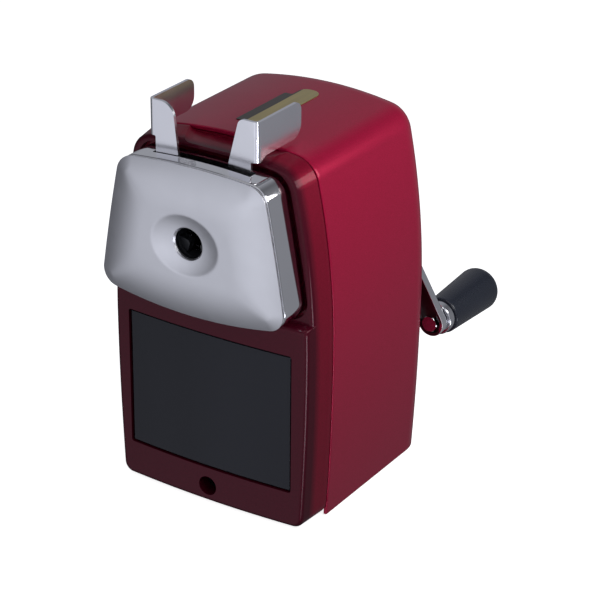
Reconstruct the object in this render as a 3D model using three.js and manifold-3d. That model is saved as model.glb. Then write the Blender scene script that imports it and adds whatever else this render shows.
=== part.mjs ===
// A hand-cranked desk pencil sharpener. Units are millimetres: X right, Y back, Z up.
// The origin is on the surface that the rubber feet rest on, under the middle of the base.
// The front holds a sprung carriage with a pencil chuck, and a drawer for the shavings below it.
import * as THREE from "three";
import { mergeVertices } from "three/addons/utils/BufferGeometryUtils.js";
import Module from "manifold-3d";

const wasm = await Module();
wasm.setup();

// ---- Driving dimensions ----------------------------------------------------------------
const FIT = 0.3; // gap between pieces that are fitted together

const FOOT_HEIGHT = 0.8; // how far the rubber feet lift the body
const BODY_TOP = 121;
const BODY_HALF_WIDTH = 37.1; // at the waist
const WAIST_Z = 58.8;
const LOWER_SIDE_R = 900;
const UPPER_SIDE_R = 240;
const CROWN_R = 140;
const SHOULDER_R = 9; // between side and crown
const BOTTOM_CORNER_R = 5;
const WALL = 1.2; // sheet steel
const SHELL_FRONT_Y = -18.4;
const SHELL_REAR_Y = 42;
const REAR_SIDE_R = 11;
const REAR_TOP_R = 9.5;

const BEZEL_REAR_Y = -19;
const BEZEL_INSET = 1.3; // how much narrower the bezel is at its front
const BEZEL_EDGE_R = 1.8;
const BEZEL_WALL = 3.9;
const LOWER_FRONT_Y = -32.5; // the bowed lower front, at the middle
const FRONT_BOW_R = 360;
const UPPER_FRONT_Y = -28;
const POCKET_FLOOR_Y = -25.5;
const BULKHEAD_REAR_Y = -22.5;
const BULKHEAD_FLOOR_Z = 64.5;
const SHELF_Z = 69.8;

const WINDOW = { halfWidth: 30.2, bottom: 13, top: 59.9 };
const DRAWER = { halfWidth: 29.8, bottom: 13.4, top: 59.5, rear: 36, wall: 1.6, frontY: -31.9 };

const AXIS_Z = 93; // pencil, crank and lever axis
const PENCIL_HOLE_R = 5.2;
const PLATE_RIM_Y = -39.9;
const PLATE_BACK_Y = -38.9;
const PLATE_PEAK_Y = -43.2;
const DISH = { halfWidth: 12, halfHeight: 9.7, depth: 2.1 };
const PLATE_HOLE_R = 4.9;
const PLATE_WALL = 1.6;
const FRAME_INSET = 0.1;
const FRAME_FRONT_Y = -38.4;
const FRAME_REAR_Y = -26.6;
const WEB_FRONT_Y = -30.6;

const ROD = { x: 25, z: 80, radius: 2, front: -30.3, rear: 35 };
const SPRING_FRONT_Y = -16;
const CLIP_FRONT_Y = 33.2;

const CHUCK = { radius: 17, front: -38.9, rear: -34.4 };
const CLAW_ANGLES = [90, 210, 330];
const CLAW_TIP_R = 2.4;
const CLAW_PIN_R = 0.9;
const CLAW_PIN_RING = 12;
const CLAW_TRAVEL = 2.2;
const LEVER_TURN = 12; // degrees
const LEVER_RING = { inner: 6, outer: 16.5 };

const TILT = THREE.MathUtils.degToRad(9); // of the cutter to the pencil
const GEAR_Y = 26; // where the pinion meets the ring gear
const GEAR_MODULE = 1.2;
const RING_TEETH = 24;
const PINION_TEETH = 12;
const RING_R = (GEAR_MODULE * RING_TEETH) / 2;
const PINION_R = (GEAR_MODULE * PINION_TEETH) / 2;
const CUTTER_R = 8;
const HOUSING = { inner: 21, outer: 23, rear: 35, flange: 29.3, screwRing: 26.2 };

const SHAFT_R = 3;
const ARM = { front: 46.5, rear: 50, hubR: 6.8, endR: 4.6, flange: 1.1, web: 1.3 };
const HANDLE = { x: 33.8, z: 40.4, front: 53.6, rear: 82.6, rootR: 6.2, endR: 7.4, cornerR: 3.8 };

const CLAMP_HOLE = { z: 6.6, radius: 3.25 };

// ---- Solids ----------------------------------------------------------------------------
function solidOf(geometry) {
  const bare = geometry.index ? geometry.toNonIndexed() : geometry.clone();
  bare.deleteAttribute("normal");
  bare.deleteAttribute("uv");
  const merged = mergeVertices(bare, 1e-4);
  const triVerts = new Uint32Array(merged.index.array);
  const vertProperties = merged.attributes.position.array;
  const solid = new wasm.Manifold(new wasm.Mesh({ numProp: 3, vertProperties, triVerts }));
  if (solid.volume() > 0) return solid;
  for (let i = 0; i < triVerts.length; i += 3) {
    [triVerts[i + 1], triVerts[i + 2]] = [triVerts[i + 2], triVerts[i + 1]];
  }
  return new wasm.Manifold(new wasm.Mesh({ numProp: 3, vertProperties, triVerts }));
}

function geometryOf(solid) {
  const mesh = solid.getMesh();
  const positions = new Float32Array(mesh.numVert * 3);
  for (let i = 0; i < mesh.numVert; i++) {
    positions.set(mesh.vertProperties.subarray(i * mesh.numProp, i * mesh.numProp + 3), i * 3);
  }
  const geometry = new THREE.BufferGeometry();
  geometry.setAttribute("position", new THREE.BufferAttribute(positions, 3));
  geometry.setIndex(new THREE.BufferAttribute(mesh.triVerts, 1));
  return geometry;
}

function box(x0, x1, y0, y1, z0, z1) {
  const geometry = new THREE.BoxGeometry(x1 - x0, y1 - y0, z1 - z0);
  geometry.translate((x0 + x1) / 2, (y0 + y1) / 2, (z0 + z1) / 2);
  return solidOf(geometry);
}

// A cylinder or cone along Y, from y0 to y1, through (x, z).
function rod(radius, y0, y1, x = 0, z = AXIS_Z, sides = 24, endRadius = radius) {
  const geometry = new THREE.CylinderGeometry(endRadius, radius, y1 - y0, sides);
  geometry.translate(x, (y0 + y1) / 2, z);
  return solidOf(geometry);
}

function tube(outer, inner, y0, y1, x = 0, z = AXIS_Z, sides = 24) {
  return rod(outer, y0, y1, x, z, sides).subtract(rod(inner, y0 - 1, y1 + 1, x, z, sides));
}

// A cylinder along Z, from z0 to z1, through (x, y).
function post(radius, z0, z1, x, y, sides = 16) {
  const geometry = new THREE.CylinderGeometry(radius, radius, z1 - z0, sides);
  geometry.rotateX(Math.PI / 2);
  geometry.translate(x, y, (z0 + z1) / 2);
  return solidOf(geometry);
}

// A flat outline of (x, z) points, extruded from y0 to y1.
function prism(points, y0, y1) {
  const shape = points instanceof THREE.Shape ? points : new THREE.Shape(points);
  const settings = { depth: y1 - y0, bevelEnabled: false, curveSegments: 6 };
  const geometry = new THREE.ExtrudeGeometry(shape, settings);
  geometry.rotateX(Math.PI / 2);
  geometry.translate(0, y1, 0);
  return solidOf(geometry);
}

// A closed body through rings that have the same number of points; each end ring is flat in Y.
function loft(rings) {
  const count = rings[0].length;
  const positions = rings.flat().flatMap((point) => [point.x, point.y, point.z]);
  const index = [];
  for (let ring = 0; ring + 1 < rings.length; ring++) {
    for (let i = 0; i < count; i++) {
      const a = ring * count + i;
      const b = ring * count + ((i + 1) % count);
      index.push(a, b, b + count, a, b + count, a + count);
    }
  }
  const capOf = (ring) => {
    const outline = rings[ring].map((point) => new THREE.Vector2(point.x, point.z));
    return THREE.ShapeUtils.triangulateShape(outline, []);
  };
  const last = rings.length - 1;
  for (const [a, b, c] of capOf(0)) index.push(a, c, b);
  for (const [a, b, c] of capOf(last)) index.push(last * count + a, last * count + b, last * count + c);
  const geometry = new THREE.BufferGeometry();
  geometry.setAttribute("position", new THREE.Float32BufferAttribute(positions, 3));
  geometry.setIndex(index);
  return solidOf(geometry);
}

const join = (...solids) => solids.reduce((whole, next) => whole.add(next));
const cut = (solid, ...tools) => tools.reduce((left, tool) => left.subtract(tool), solid);
const sides = (make) => join(make(-1), make(1));

// ---- Outlines from tangent arcs --------------------------------------------------------
function arcPoints(circle, radius, start, end, steps) {
  const points = [];
  for (let i = 0; i <= steps; i++) {
    const angle = start + ((end - start) * i) / steps;
    const [x, z] = [circle.x + radius * Math.cos(angle), circle.z + radius * Math.sin(angle)];
    points.push(new THREE.Vector2(x, z));
  }
  return points;
}

const directionTo = (from, to) => Math.atan2(to.z - from.z, to.x - from.x);

// Centre of the round corner of radius r inside two circles, on the right-hand side.
function cornerCentre(first, second, r) {
  const a = first.r - r;
  const b = second.r - r;
  const distance = Math.hypot(second.x - first.x, second.z - first.z);
  const along = (a * a - b * b + distance * distance) / (2 * distance);
  const across = Math.sqrt(a * a - along * along);
  const ux = (second.x - first.x) / distance;
  const uz = (second.z - first.z) / distance;
  const options = [1, -1].map((side) => ({
    x: first.x + ux * along - uz * across * side,
    z: first.z + uz * along + ux * across * side,
  }));
  return options.sort((p, q) => q.x - p.x)[0];
}

const mirrored = (half) => {
  const left = half.slice(0, -1).reverse();
  return [...half, ...left.map((point) => new THREE.Vector2(-point.x, point.y))];
};

const crown = { x: 0, z: BODY_TOP - CROWN_R, r: CROWN_R };
const upperSide = { x: BODY_HALF_WIDTH - UPPER_SIDE_R, z: WAIST_Z, r: UPPER_SIDE_R };
const lowerSide = { x: BODY_HALF_WIDTH - LOWER_SIDE_R, z: WAIST_Z, r: LOWER_SIDE_R };
const shoulder = cornerCentre(upperSide, crown, SHOULDER_R);

// The body's section, shrunk all round by inset; a square foot has no rounded lower corner.
function bodyOutline(inset, squareFoot = false, bottom = FOOT_HEIGHT) {
  const toCrown = directionTo(crown, shoulder);
  const toSide = directionTo(upperSide, shoulder);
  const corner = { z: FOOT_HEIGHT + BOTTOM_CORNER_R };
  const reach = LOWER_SIDE_R - BOTTOM_CORNER_R;
  corner.x = lowerSide.x + Math.sqrt(reach ** 2 - (corner.z - WAIST_Z) ** 2);
  let foot = arcPoints(corner, BOTTOM_CORNER_R - inset, -Math.PI / 2, directionTo(lowerSide, corner), 3);
  let start = directionTo(lowerSide, corner);
  if (squareFoot) {
    start = -Math.asin((WAIST_Z - FOOT_HEIGHT) / LOWER_SIDE_R);
    const edge = arcPoints(lowerSide, LOWER_SIDE_R - inset, start, start, 1)[0];
    foot = [new THREE.Vector2(edge.x, bottom)];
    if (bottom < FOOT_HEIGHT) foot.push(edge);
  }
  const half = [
    ...foot,
    ...arcPoints(lowerSide, LOWER_SIDE_R - inset, start, 0, 3).slice(1),
    ...arcPoints(upperSide, UPPER_SIDE_R - inset, 0, toSide, 4).slice(1),
    ...arcPoints(shoulder, SHOULDER_R - inset, toSide, toCrown, 5).slice(1),
    ...arcPoints(crown, CROWN_R - inset, toCrown, Math.PI / 2, 4).slice(1),
  ];
  return mirrored(half);
}

const plateTop = { x: 0, z: 116.8 - 220, r: 220 };
const plateSide = { x: -560.7, z: -12, r: 600 };
const plateBottom = { x: 0, z: 68.8 + 146, r: 146 };
const plateUpperCorner = cornerCentre(plateSide, plateTop, 6.5);
const plateLowerCorner = cornerCentre(plateSide, plateBottom, 5.5);

// The face plate's outline, narrower at the top, shrunk all round by inset.
function plateOutline(inset) {
  const fromBottom = directionTo(plateBottom, plateLowerCorner);
  const lowerToSide = directionTo(plateSide, plateLowerCorner);
  const sideToUpper = directionTo(plateSide, plateUpperCorner);
  const toTop = directionTo(plateTop, plateUpperCorner);
  const half = [
    ...arcPoints(plateBottom, plateBottom.r - inset, -Math.PI / 2, fromBottom, 3),
    ...arcPoints(plateLowerCorner, 5.5 - inset, fromBottom, lowerToSide, 4).slice(1),
    ...arcPoints(plateSide, plateSide.r - inset, lowerToSide, sideToUpper, 3).slice(1),
    ...arcPoints(plateUpperCorner, 6.5 - inset, sideToUpper, toTop, 4).slice(1),
    ...arcPoints(plateTop, plateTop.r - inset, toTop, Math.PI / 2, 3).slice(1),
  ];
  return [...half, ...mirrored(half).slice(half.length, -1)];
}

const atY = (outline, y) => outline.map((point) => new THREE.Vector3(point.x, y, point.y));

// ---- Casing ----------------------------------------------------------------------------
// The shell's outer body, or with an inset the space inside it, open at the bottom.
function shellBody(inset, frontY) {
  const bottom = inset > 0 ? -5 : FOOT_HEIGHT;
  const outline = bodyOutline(inset, true, bottom);
  const sideR = REAR_SIDE_R - inset;
  const topR = REAR_TOP_R - inset;
  const rear = SHELL_REAR_Y - inset;
  const half = BODY_HALF_WIDTH - inset;
  const rings = [atY(outline, frontY)];
  for (const angle of [0, 18, 36, 54, 72, 90]) {
    const y = rear - sideR + sideR * Math.sin(THREE.MathUtils.degToRad(angle));
    const narrower = sideR - Math.sqrt(Math.max(0, sideR ** 2 - (y - rear + sideR) ** 2));
    const past = Math.max(0, y - rear + topR);
    const lower = topR - Math.sqrt(Math.max(0, topR ** 2 - past ** 2));
    const height = BODY_TOP - inset - FOOT_HEIGHT;
    rings.push(
      outline.map((point) => {
        const z = point.y <= FOOT_HEIGHT ? point.y : point.y - (lower * (point.y - FOOT_HEIGHT)) / height;
        return new THREE.Vector3((point.x * (half - narrower)) / half, y, z);
      }),
    );
  }
  return loft(rings);
}

function mainShell() {
  const inside = shellBody(WALL, SHELL_FRONT_Y - 1);
  const screwTab = (side) => {
    const x = 20 * side;
    return cut(box(x - 5, x + 5, 34, 41.2, 4.1, 5.3), post(1.7, 3, 7, x, 36.5));
  };
  const shaftHole = rod(5.8, 38, 45, 0, AXIS_Z, 24);
  return join(cut(shellBody(0, SHELL_FRONT_Y), inside, shaftHole), screwTab(-1), screwTab(1));
}

const bowedFront = (y) => {
  const geometry = new THREE.CylinderGeometry(FRONT_BOW_R, FRONT_BOW_R, 300, 240);
  geometry.rotateY(Math.PI / 240);
  geometry.rotateX(Math.PI / 2);
  geometry.translate(0, y + FRONT_BOW_R, 60);
  return solidOf(geometry);
};

// The bezel's outline at an inset; its bottom edge keeps its height while its sides draw in.
function bezelOutline(inset) {
  return bodyOutline(inset).map((point) => {
    const low = THREE.MathUtils.clamp((20 - point.y) / 14, 0, 1);
    return new THREE.Vector2(point.x, point.y - BEZEL_INSET * low);
  });
}

function frontBezel() {
  const front = LOWER_FRONT_Y - 0.4;
  const rings = [atY(bodyOutline(0), BEZEL_REAR_Y)];
  for (const angle of [0, 30, 60, 90]) {
    const turn = THREE.MathUtils.degToRad(angle);
    const inset = BEZEL_INSET + BEZEL_EDGE_R * (1 - Math.cos(turn));
    rings.push(atY(bezelOutline(inset), -30.9 + BEZEL_EDGE_R * (1 - Math.sin(turn))));
  }
  rings.push(atY(bezelOutline(BEZEL_INSET + BEZEL_EDGE_R), front));
  const spigot = prism(bodyOutline(WALL + FIT), BEZEL_REAR_Y - 0.5, -14);
  const block = join(loft(rings).intersect(bowedFront(LOWER_FRONT_Y)), spigot);
  const inner = bodyOutline(BEZEL_WALL);
  const below = box(-50, 50, -27.5, BULKHEAD_REAR_Y + 0.1, -5, BULKHEAD_FLOOR_Z);
  const inside = [
    prism(inner, BULKHEAD_REAR_Y, -10),
    prism(inner, -27.5, BULKHEAD_REAR_Y + 0.1).intersect(below),
    box(-31.4, 31.4, -27.5, -10, -2, 12),
  ];
  const upper = box(-50, 50, -50, UPPER_FRONT_Y, SHELF_Z, 130);
  const pocket = prism(plateOutline(-0.9), -50, POCKET_FLOOR_Y);
  const { halfWidth, bottom, top } = WINDOW;
  const window = box(-halfWidth, halfWidth, -50, -10, bottom, top);
  const leverRecess = box(-19.5, 19.5, -40, BEZEL_REAR_Y + 0.01, 118.7, 125);
  const holes = [
    rod(CLAMP_HOLE.radius, -50, -20, 0, CLAMP_HOLE.z, 20),
    rod(7.8, -30, -20, 0, AXIS_Z, 28),
    ...[-1, 1].map((side) => rod(3.9, -30, -20, side * ROD.x, ROD.z, 20)),
    ...housingScrewPlaces().map(([x, z]) => rod(1.7, -30, -20, x, z, 10)),
  ];
  const boss = (side) =>
    cut(post(3.6, 4.1, 12, side * 20, -24.2), post(1.7, 3, 11, side * 20, -23.6, 10));
  return join(cut(block, ...inside, upper, pocket, window, leverRecess, ...holes), boss(-1), boss(1));
}

const FOOT_PLACES = [
  [-25, -12],
  [25, -12],
  [-25, 28],
  [25, 28],
];
const BASE_SCREW_PLACES = [
  [-20, -23.6],
  [20, -23.6],
  [-20, 36.5],
  [20, 36.5],
];
const BASE_PLATE_TOP = 3.8;

function basePlate() {
  const shape = new THREE.Shape();
  const half = 33.4;
  const rear = 40.3;
  const corner = 9.6;
  shape.moveTo(-half, -13.4);
  shape.lineTo(half, -13.4);
  shape.lineTo(half, rear - corner);
  shape.absarc(half - corner, rear - corner, corner, 0, Math.PI / 2);
  shape.absarc(-half + corner, rear - corner, corner, Math.PI / 2, Math.PI);
  const settings = { depth: BASE_PLATE_TOP - FOOT_HEIGHT, bevelEnabled: false, curveSegments: 6 };
  const geometry = new THREE.ExtrudeGeometry(shape, settings);
  geometry.translate(0, 0, FOOT_HEIGHT);
  const railTop = DRAWER.bottom - FIT;
  const low = BASE_PLATE_TOP - 0.5;
  return cut(
    join(
      solidOf(geometry),
      box(-31, 31, -27.2, -13, FOOT_HEIGHT, BASE_PLATE_TOP),
      sides((side) => box(side * 27.5 - 1.5, side * 27.5 + 1.5, -26, 33, low, railTop)),
      sides((side) => box(side * 31.2 - 0.9, side * 31.2 + 0.9, -12.5, 33, low, 24)),
      box(-12, 12, 36.6, 38.4, low, 30),
      box(-8, 8, -26.8, -8, low, CLAMP_HOLE.z + 5.6),
    ),
    rod(4.3, -28, -7.4, 0, CLAMP_HOLE.z, 24),
    ...FOOT_PLACES.map(([x, y]) => post(5.3, 0, 2.5, x, y, 24)),
    ...BASE_SCREW_PLACES.map(([x, y]) => join(post(3.3, 0, 3, x, y), post(1.7, 2, 5, x, y, 10))),
  );
}

const rubberFoot = ([x, y]) => post(5, 0, 2.2, x, y, 24);

function baseScrew([x, y]) {
  const socket = post(1.2, 1, 1.9, x, y, 6);
  return cut(join(post(3, 1.2, 2.8, x, y), post(1.4, 2.7, 10, x, y, 10)), socket);
}

const clampSocket = () => tube(4, CLAMP_HOLE.radius, -26.9, -7.8, 0, CLAMP_HOLE.z, 24);

function topLabel() {
  const shape = new THREE.Shape();
  const half = 5;
  const endR = 3.6;
  shape.moveTo(-half, -9);
  shape.lineTo(half, -9);
  shape.absarc(half - endR, 21, endR, 0, Math.PI);
  shape.lineTo(half - 2 * endR, 18.2);
  shape.lineTo(-half, 18.2);
  const settings = { depth: 0.2, bevelEnabled: false, curveSegments: 8 };
  const geometry = new THREE.ExtrudeGeometry(shape, settings);
  geometry.translate(0, 0, BODY_TOP + 0.04);
  return solidOf(geometry);
}

function drawer() {
  const { halfWidth, bottom, top, rear, wall, frontY } = DRAWER;
  const block = box(-halfWidth, halfWidth, frontY - 1, rear, bottom, top);
  const hollow = box(-halfWidth + wall, halfWidth - wall, -29.4, rear - wall, bottom + wall, top + 1);
  return cut(block.intersect(bowedFront(frontY)), hollow);
}

// ---- Sharpening mechanism --------------------------------------------------------------
const onCircle = (radius, degrees) => {
  const angle = THREE.MathUtils.degToRad(degrees);
  return [radius * Math.cos(angle), AXIS_Z + radius * Math.sin(angle)];
};

function housingScrewPlaces() {
  return [42, 138, 270].map((degrees) => onCircle(HOUSING.screwRing, degrees));
}

function mechanismHousing() {
  const within = prism(bodyOutline(BEZEL_WALL + 0.4), -23, -19);
  const flange = rod(HOUSING.flange, -22.2, -20.2, 0, AXIS_Z, 32).intersect(within);
  return cut(
    join(flange, rod(HOUSING.outer, -20.5, HOUSING.rear, 0, AXIS_Z, 32)),
    rod(HOUSING.inner, -23, HOUSING.rear - 2, 0, AXIS_Z, 32),
    rod(4, 30, 40, 0, AXIS_Z, 20),
    box(-14, 14, -14, 20, AXIS_Z - 30, AXIS_Z - 10),
    ...[-1, 1].map((side) => rod(5.2, -25, -18, side * ROD.x, ROD.z, 20)),
    ...housingScrewPlaces().map(([x, z]) => rod(1.7, -25, -18, x, z, 10)),
  );
}

const housingScrew = ([x, z]) => join(rod(1.4, -25, -19.8, x, z, 10), rod(2.6, -20, -18.2, x, z, 12));

// A gear's outline round the origin: tooth flanks between root and tip, thinned for backlash.
function gearOutline(teeth, pitchR, rootR, tipR, backlash, turn = 0) {
  const points = [];
  const pitch = (2 * Math.PI) / teeth;
  const slope = Math.tan(THREE.MathUtils.degToRad(24));
  for (let tooth = 0; tooth < teeth; tooth++) {
    const middle = tooth * pitch + turn;
    for (const [radius, side] of [[rootR, -1], [tipR, -1], [tipR, 1], [rootR, 1]]) {
      const inward = rootR < tipR ? pitchR - radius : radius - pitchR;
      const halfThickness = (Math.PI * GEAR_MODULE) / 4 - backlash / 2 + inward * slope;
      const angle = middle + (side * halfThickness) / radius;
      points.push(new THREE.Vector2(radius * Math.cos(angle), radius * Math.sin(angle)));
    }
  }
  return points;
}

const TOOTH_TIP = 0.8;
const TOOTH_ROOT = 1.3;
const BACKLASH = 0.7;

function ringGear() {
  const teeth = gearOutline(RING_TEETH, RING_R, RING_R + TOOTH_ROOT, RING_R - TOOTH_TIP, BACKLASH, 0);
  const hole = teeth.map((point) => new THREE.Vector2(point.x, point.y + AXIS_Z));
  return cut(rod(HOUSING.inner - FIT - 0.1, 22.5, 29.7, 0, AXIS_Z, 32), prism(hole, 20, 32));
}

// Places a solid built round the Y axis on the cutter's tilted axis; its y = 0 is at GEAR_Y.
function onCutterAxis(geometry) {
  geometry.rotateX(-TILT);
  geometry.translate(0, GEAR_Y, AXIS_Z + RING_R - PINION_R);
  return solidOf(geometry);
}

function tiltedRod(radius, y0, y1, count = 20) {
  const geometry = new THREE.CylinderGeometry(radius, radius, y1 - y0, count);
  geometry.translate(0, (y0 + y1) / 2, 0);
  return onCutterAxis(geometry);
}

// Rings of a profile in (x, z), each at its own place, size and turn along the Y axis.
function sweptGeometry(stations) {
  const rings = stations.map(({ y, profile }) => atY(profile, y));
  return geometryOf(loft(rings));
}

function cutterPinion() {
  const stations = [-2.8, 2.8].map((y) => {
    const widening = y * Math.tan(TILT);
    const pitchR = PINION_R + widening;
    const rootR = pitchR - TOOTH_ROOT;
    const tipR = pitchR + TOOTH_TIP;
    const turn = Math.PI / 2 + Math.PI / PINION_TEETH;
    const profile = gearOutline(PINION_TEETH, pitchR, rootR, tipR, BACKLASH, turn);
    return { y, profile };
  });
  const hub = tiltedRod(4, -6.6, -2.6);
  return cut(join(onCutterAxis(sweptGeometry(stations)), hub), tiltedRod(1.8, -10, 10, 16));
}

function cutter() {
  const flutes = 10;
  const stations = [-32, -25.6, -19.2, -12.8, -6.9].map((y) => {
    const profile = [];
    for (let i = 0; i < flutes * 2; i++) {
      const angle = (i * Math.PI) / flutes + y * 0.045;
      const radius = i % 2 ? CUTTER_R - 1.1 : CUTTER_R;
      profile.push(new THREE.Vector2(radius * Math.cos(angle), radius * Math.sin(angle)));
    }
    return { y, profile };
  });
  return cut(onCutterAxis(sweptGeometry(stations)), tiltedRod(1.8, -40, 0, 16));
}

const cutterPin = () => tiltedRod(1.5, -38.2, 6.3, 16);

function cutterCarrier() {
  const rail = (start, end) => {
    const shape = new THREE.Shape();
    shape.absarc(0, AXIS_Z, 12.5, start, end, false);
    shape.absarc(0, AXIS_Z, 9.5, end, start, true);
    return prism(shape, -9.5, 30.6);
  };
  const angle = THREE.MathUtils.degToRad;
  return cut(
    join(
      rod(19, -12, -9, 0, AXIS_Z, 32),
      rod(13, 30.2, 32.6, 0, AXIS_Z, 32),
      rail(angle(205), angle(245)),
      rail(angle(295), angle(335)),
    ),
    rod(PENCIL_HOLE_R, -13, -8, 0, AXIS_Z, 24),
    rod(SHAFT_R + FIT, 29, 34, 0, AXIS_Z, 20),
    tiltedRod(1.8, -45, 12, 16),
  );
}

const pencilGuide = () => tube(7.5, PENCIL_HOLE_R, -25.2, -13, 0, AXIS_Z, 28);

// ---- Crank -----------------------------------------------------------------------------
const crankShaft = () => join(rod(SHAFT_R, 30.5, 53.4, 0, AXIS_Z, 20), rod(4.6, 45, 48.4, 0, AXIS_Z, 20));
const rearBush = () => tube(5.5, SHAFT_R + 0.35, 35.3, 44.6, 0, AXIS_Z, 24);
const rearEscutcheon = () => tube(10.5, 5.8, 42.3, 43.9, 0, AXIS_Z, 36);
const crankNut = () => cut(rod(5, 50.3, 53, 0, AXIS_Z, 6), rod(SHAFT_R + FIT, 40, 55, 0, AXIS_Z, 20));

// The outline round two circles and their outer tangents.
function linkShape(start, startR, end, endR) {
  const along = directionTo(start, end);
  const tangent = Math.acos((startR - endR) / Math.hypot(end.x - start.x, end.z - start.z));
  const shape = new THREE.Shape();
  shape.absarc(start.x, start.z, startR, along + tangent, along - tangent + 2 * Math.PI, false);
  shape.absarc(end.x, end.z, endR, along - tangent, along + tangent, false);
  return shape;
}

// A pressed channel whose flanges point at the body.
function crankArm() {
  const hub = { x: 0, z: AXIS_Z };
  const end = { x: HANDLE.x, z: HANDLE.z };
  const { front, rear, hubR, endR, flange, web } = ARM;
  return cut(
    prism(linkShape(hub, hubR, end, endR), front, rear),
    prism(linkShape(hub, hubR - flange, end, endR - flange), front - 1, rear - web),
    rod(SHAFT_R + FIT, 40, 55, 0, AXIS_Z, 20),
    rod(2.3, 40, 55, HANDLE.x, HANDLE.z, 16),
  );
}

const handleSpindle = () =>
  join(
    rod(2, 47, HANDLE.rear - 4.5, HANDLE.x, HANDLE.z, 16),
    rod(2.9, 45.6, 48.4, HANDLE.x, HANDLE.z, 6),
  );
const handleFerrule = () => tube(5.5, 2.4, 50.3, HANDLE.front - FIT, HANDLE.x, HANDLE.z, 28);

function handleGrip() {
  const { x, z, front, rear, rootR, endR, cornerR } = HANDLE;
  const boreEnd = rear - 4;
  const dome = 0.9;
  const profile = [[0, boreEnd], [2.4, boreEnd], [2.4, front], [rootR - 0.5, front], [rootR, front + 0.5]];
  for (let angle = 0; angle <= 90; angle += 18) {
    const turn = THREE.MathUtils.degToRad(angle);
    const along = rear - dome - cornerR + cornerR * Math.sin(turn);
    profile.push([endR - cornerR + cornerR * Math.cos(turn), along]);
  }
  profile.push([0, rear]);
  const geometry = new THREE.LatheGeometry(profile.map((point) => new THREE.Vector2(...point)), 20);
  geometry.translate(x, 0, z);
  return solidOf(geometry);
}

// ---- Carriage --------------------------------------------------------------------------
// The space inside a pillow front: a rim, a rise to the peak, and a dish round the hole.
function pillow(inset, shift) {
  const outline = plateOutline(inset);
  const rise = PLATE_RIM_Y - PLATE_PEAK_Y;
  const scaled = (share, y) =>
    outline.map((point) => {
      const z = AXIS_Z + (point.y - AXIS_Z) * share;
      return new THREE.Vector3(point.x * share, y + shift, z);
    });
  const oval = (reach, y, blend) =>
    outline.map((point) => {
      const angle = Math.atan2(point.y - AXIS_Z, point.x);
      const ovalX = (DISH.halfWidth - inset) * reach * Math.cos(angle);
      const ovalZ = (DISH.halfHeight - inset) * reach * Math.sin(angle);
      const x = THREE.MathUtils.lerp(point.x * 0.56, ovalX, blend);
      const z = THREE.MathUtils.lerp((point.y - AXIS_Z) * 0.56, ovalZ, blend);
      return new THREE.Vector3(x, y + shift, AXIS_Z + z);
    });
  const rings = [
    atY(outline, -30.9),
    scaled(1, PLATE_RIM_Y),
    scaled(0.93, PLATE_RIM_Y - rise * 0.32),
    scaled(0.79, PLATE_RIM_Y - rise * 0.74),
    oval(1.25, PLATE_PEAK_Y + rise * 0.06, 0.3),
    oval(1.05, PLATE_PEAK_Y, 0.9),
    oval(0.78, PLATE_PEAK_Y + DISH.depth * 0.48, 1),
    oval(0.5, PLATE_PEAK_Y + DISH.depth * 0.88, 1),
    oval(0.2, PLATE_PEAK_Y + DISH.depth, 1),
  ];
  return loft(rings);
}

const PLATE_POSTS = [
  [-21.5, 104],
  [21.5, 104],
  [-14, 75],
  [14, 75],
];

function facePlate() {
  const outside = pillow(0, 0);
  const front = box(-50, 50, -60, PLATE_BACK_Y, 50, 130);
  const skin = cut(outside, pillow(PLATE_WALL, PLATE_WALL)).intersect(front);
  const posts = PLATE_POSTS.map(([x, z]) =>
    cut(rod(2.4, -60, WEB_FRONT_Y - FIT, x, z, 14).intersect(outside), rod(1.1, -38, -20, x, z, 8)),
  );
  return cut(join(skin, ...posts), rod(PLATE_HOLE_R, -60, -38, 0, AXIS_Z, 32));
}

const faceScrew = ([x, z]) => join(rod(0.8, -36, -28.6, x, z, 8), rod(2.2, -28.7, -27.2, x, z, 12));

function carriageFrame() {
  const wall = cut(
    prism(plateOutline(FRAME_INSET), FRAME_FRONT_Y, FRAME_REAR_Y),
    prism(plateOutline(FRAME_INSET + 1.6), FRAME_FRONT_Y - 1, FRAME_REAR_Y + 1),
  );
  const web = prism(plateOutline(FRAME_INSET + 1.5), WEB_FRONT_Y, -26.9);
  return cut(
    join(wall, web),
    box(-17.4, 17.4, -34.7, WEB_FRONT_Y, 106, 120),
    rod(5.4, -35, -20, 0, AXIS_Z, 28),
    ...[-1, 1].map((side) => rod(ROD.radius + FIT, -40, -20, side * ROD.x, ROD.z, 16)),
    ...PLATE_POSTS.map(([x, z]) => join(rod(1.2, -35, -20, x, z, 8), rod(2.5, -28.9, -20, x, z, 12))),
  );
}

function chuckHousing() {
  const ear = (degrees) => {
    const [x, z] = onCircle(18.4, degrees);
    return join(
      rod(2.2, CHUCK.front, CHUCK.rear, x, z, 12),
      rod(1.6, CHUCK.rear - 0.6, WEB_FRONT_Y - FIT, x, z, 12),
    );
  };
  const channel = (degrees) => {
    const geometry = new THREE.BoxGeometry(20, 4, 6);
    geometry.translate(10, 0, 0);
    geometry.rotateY(-THREE.MathUtils.degToRad(degrees));
    geometry.translate(0, -36.1, AXIS_Z);
    return solidOf(geometry);
  };
  return cut(
    join(rod(CHUCK.radius, CHUCK.front, CHUCK.rear, 0, AXIS_Z, 28), ear(0), ear(180), ear(270)),
    rod(PENCIL_HOLE_R, -45, -30, 0, AXIS_Z, 24),
    ...CLAW_ANGLES.map(channel),
  );
}

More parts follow.
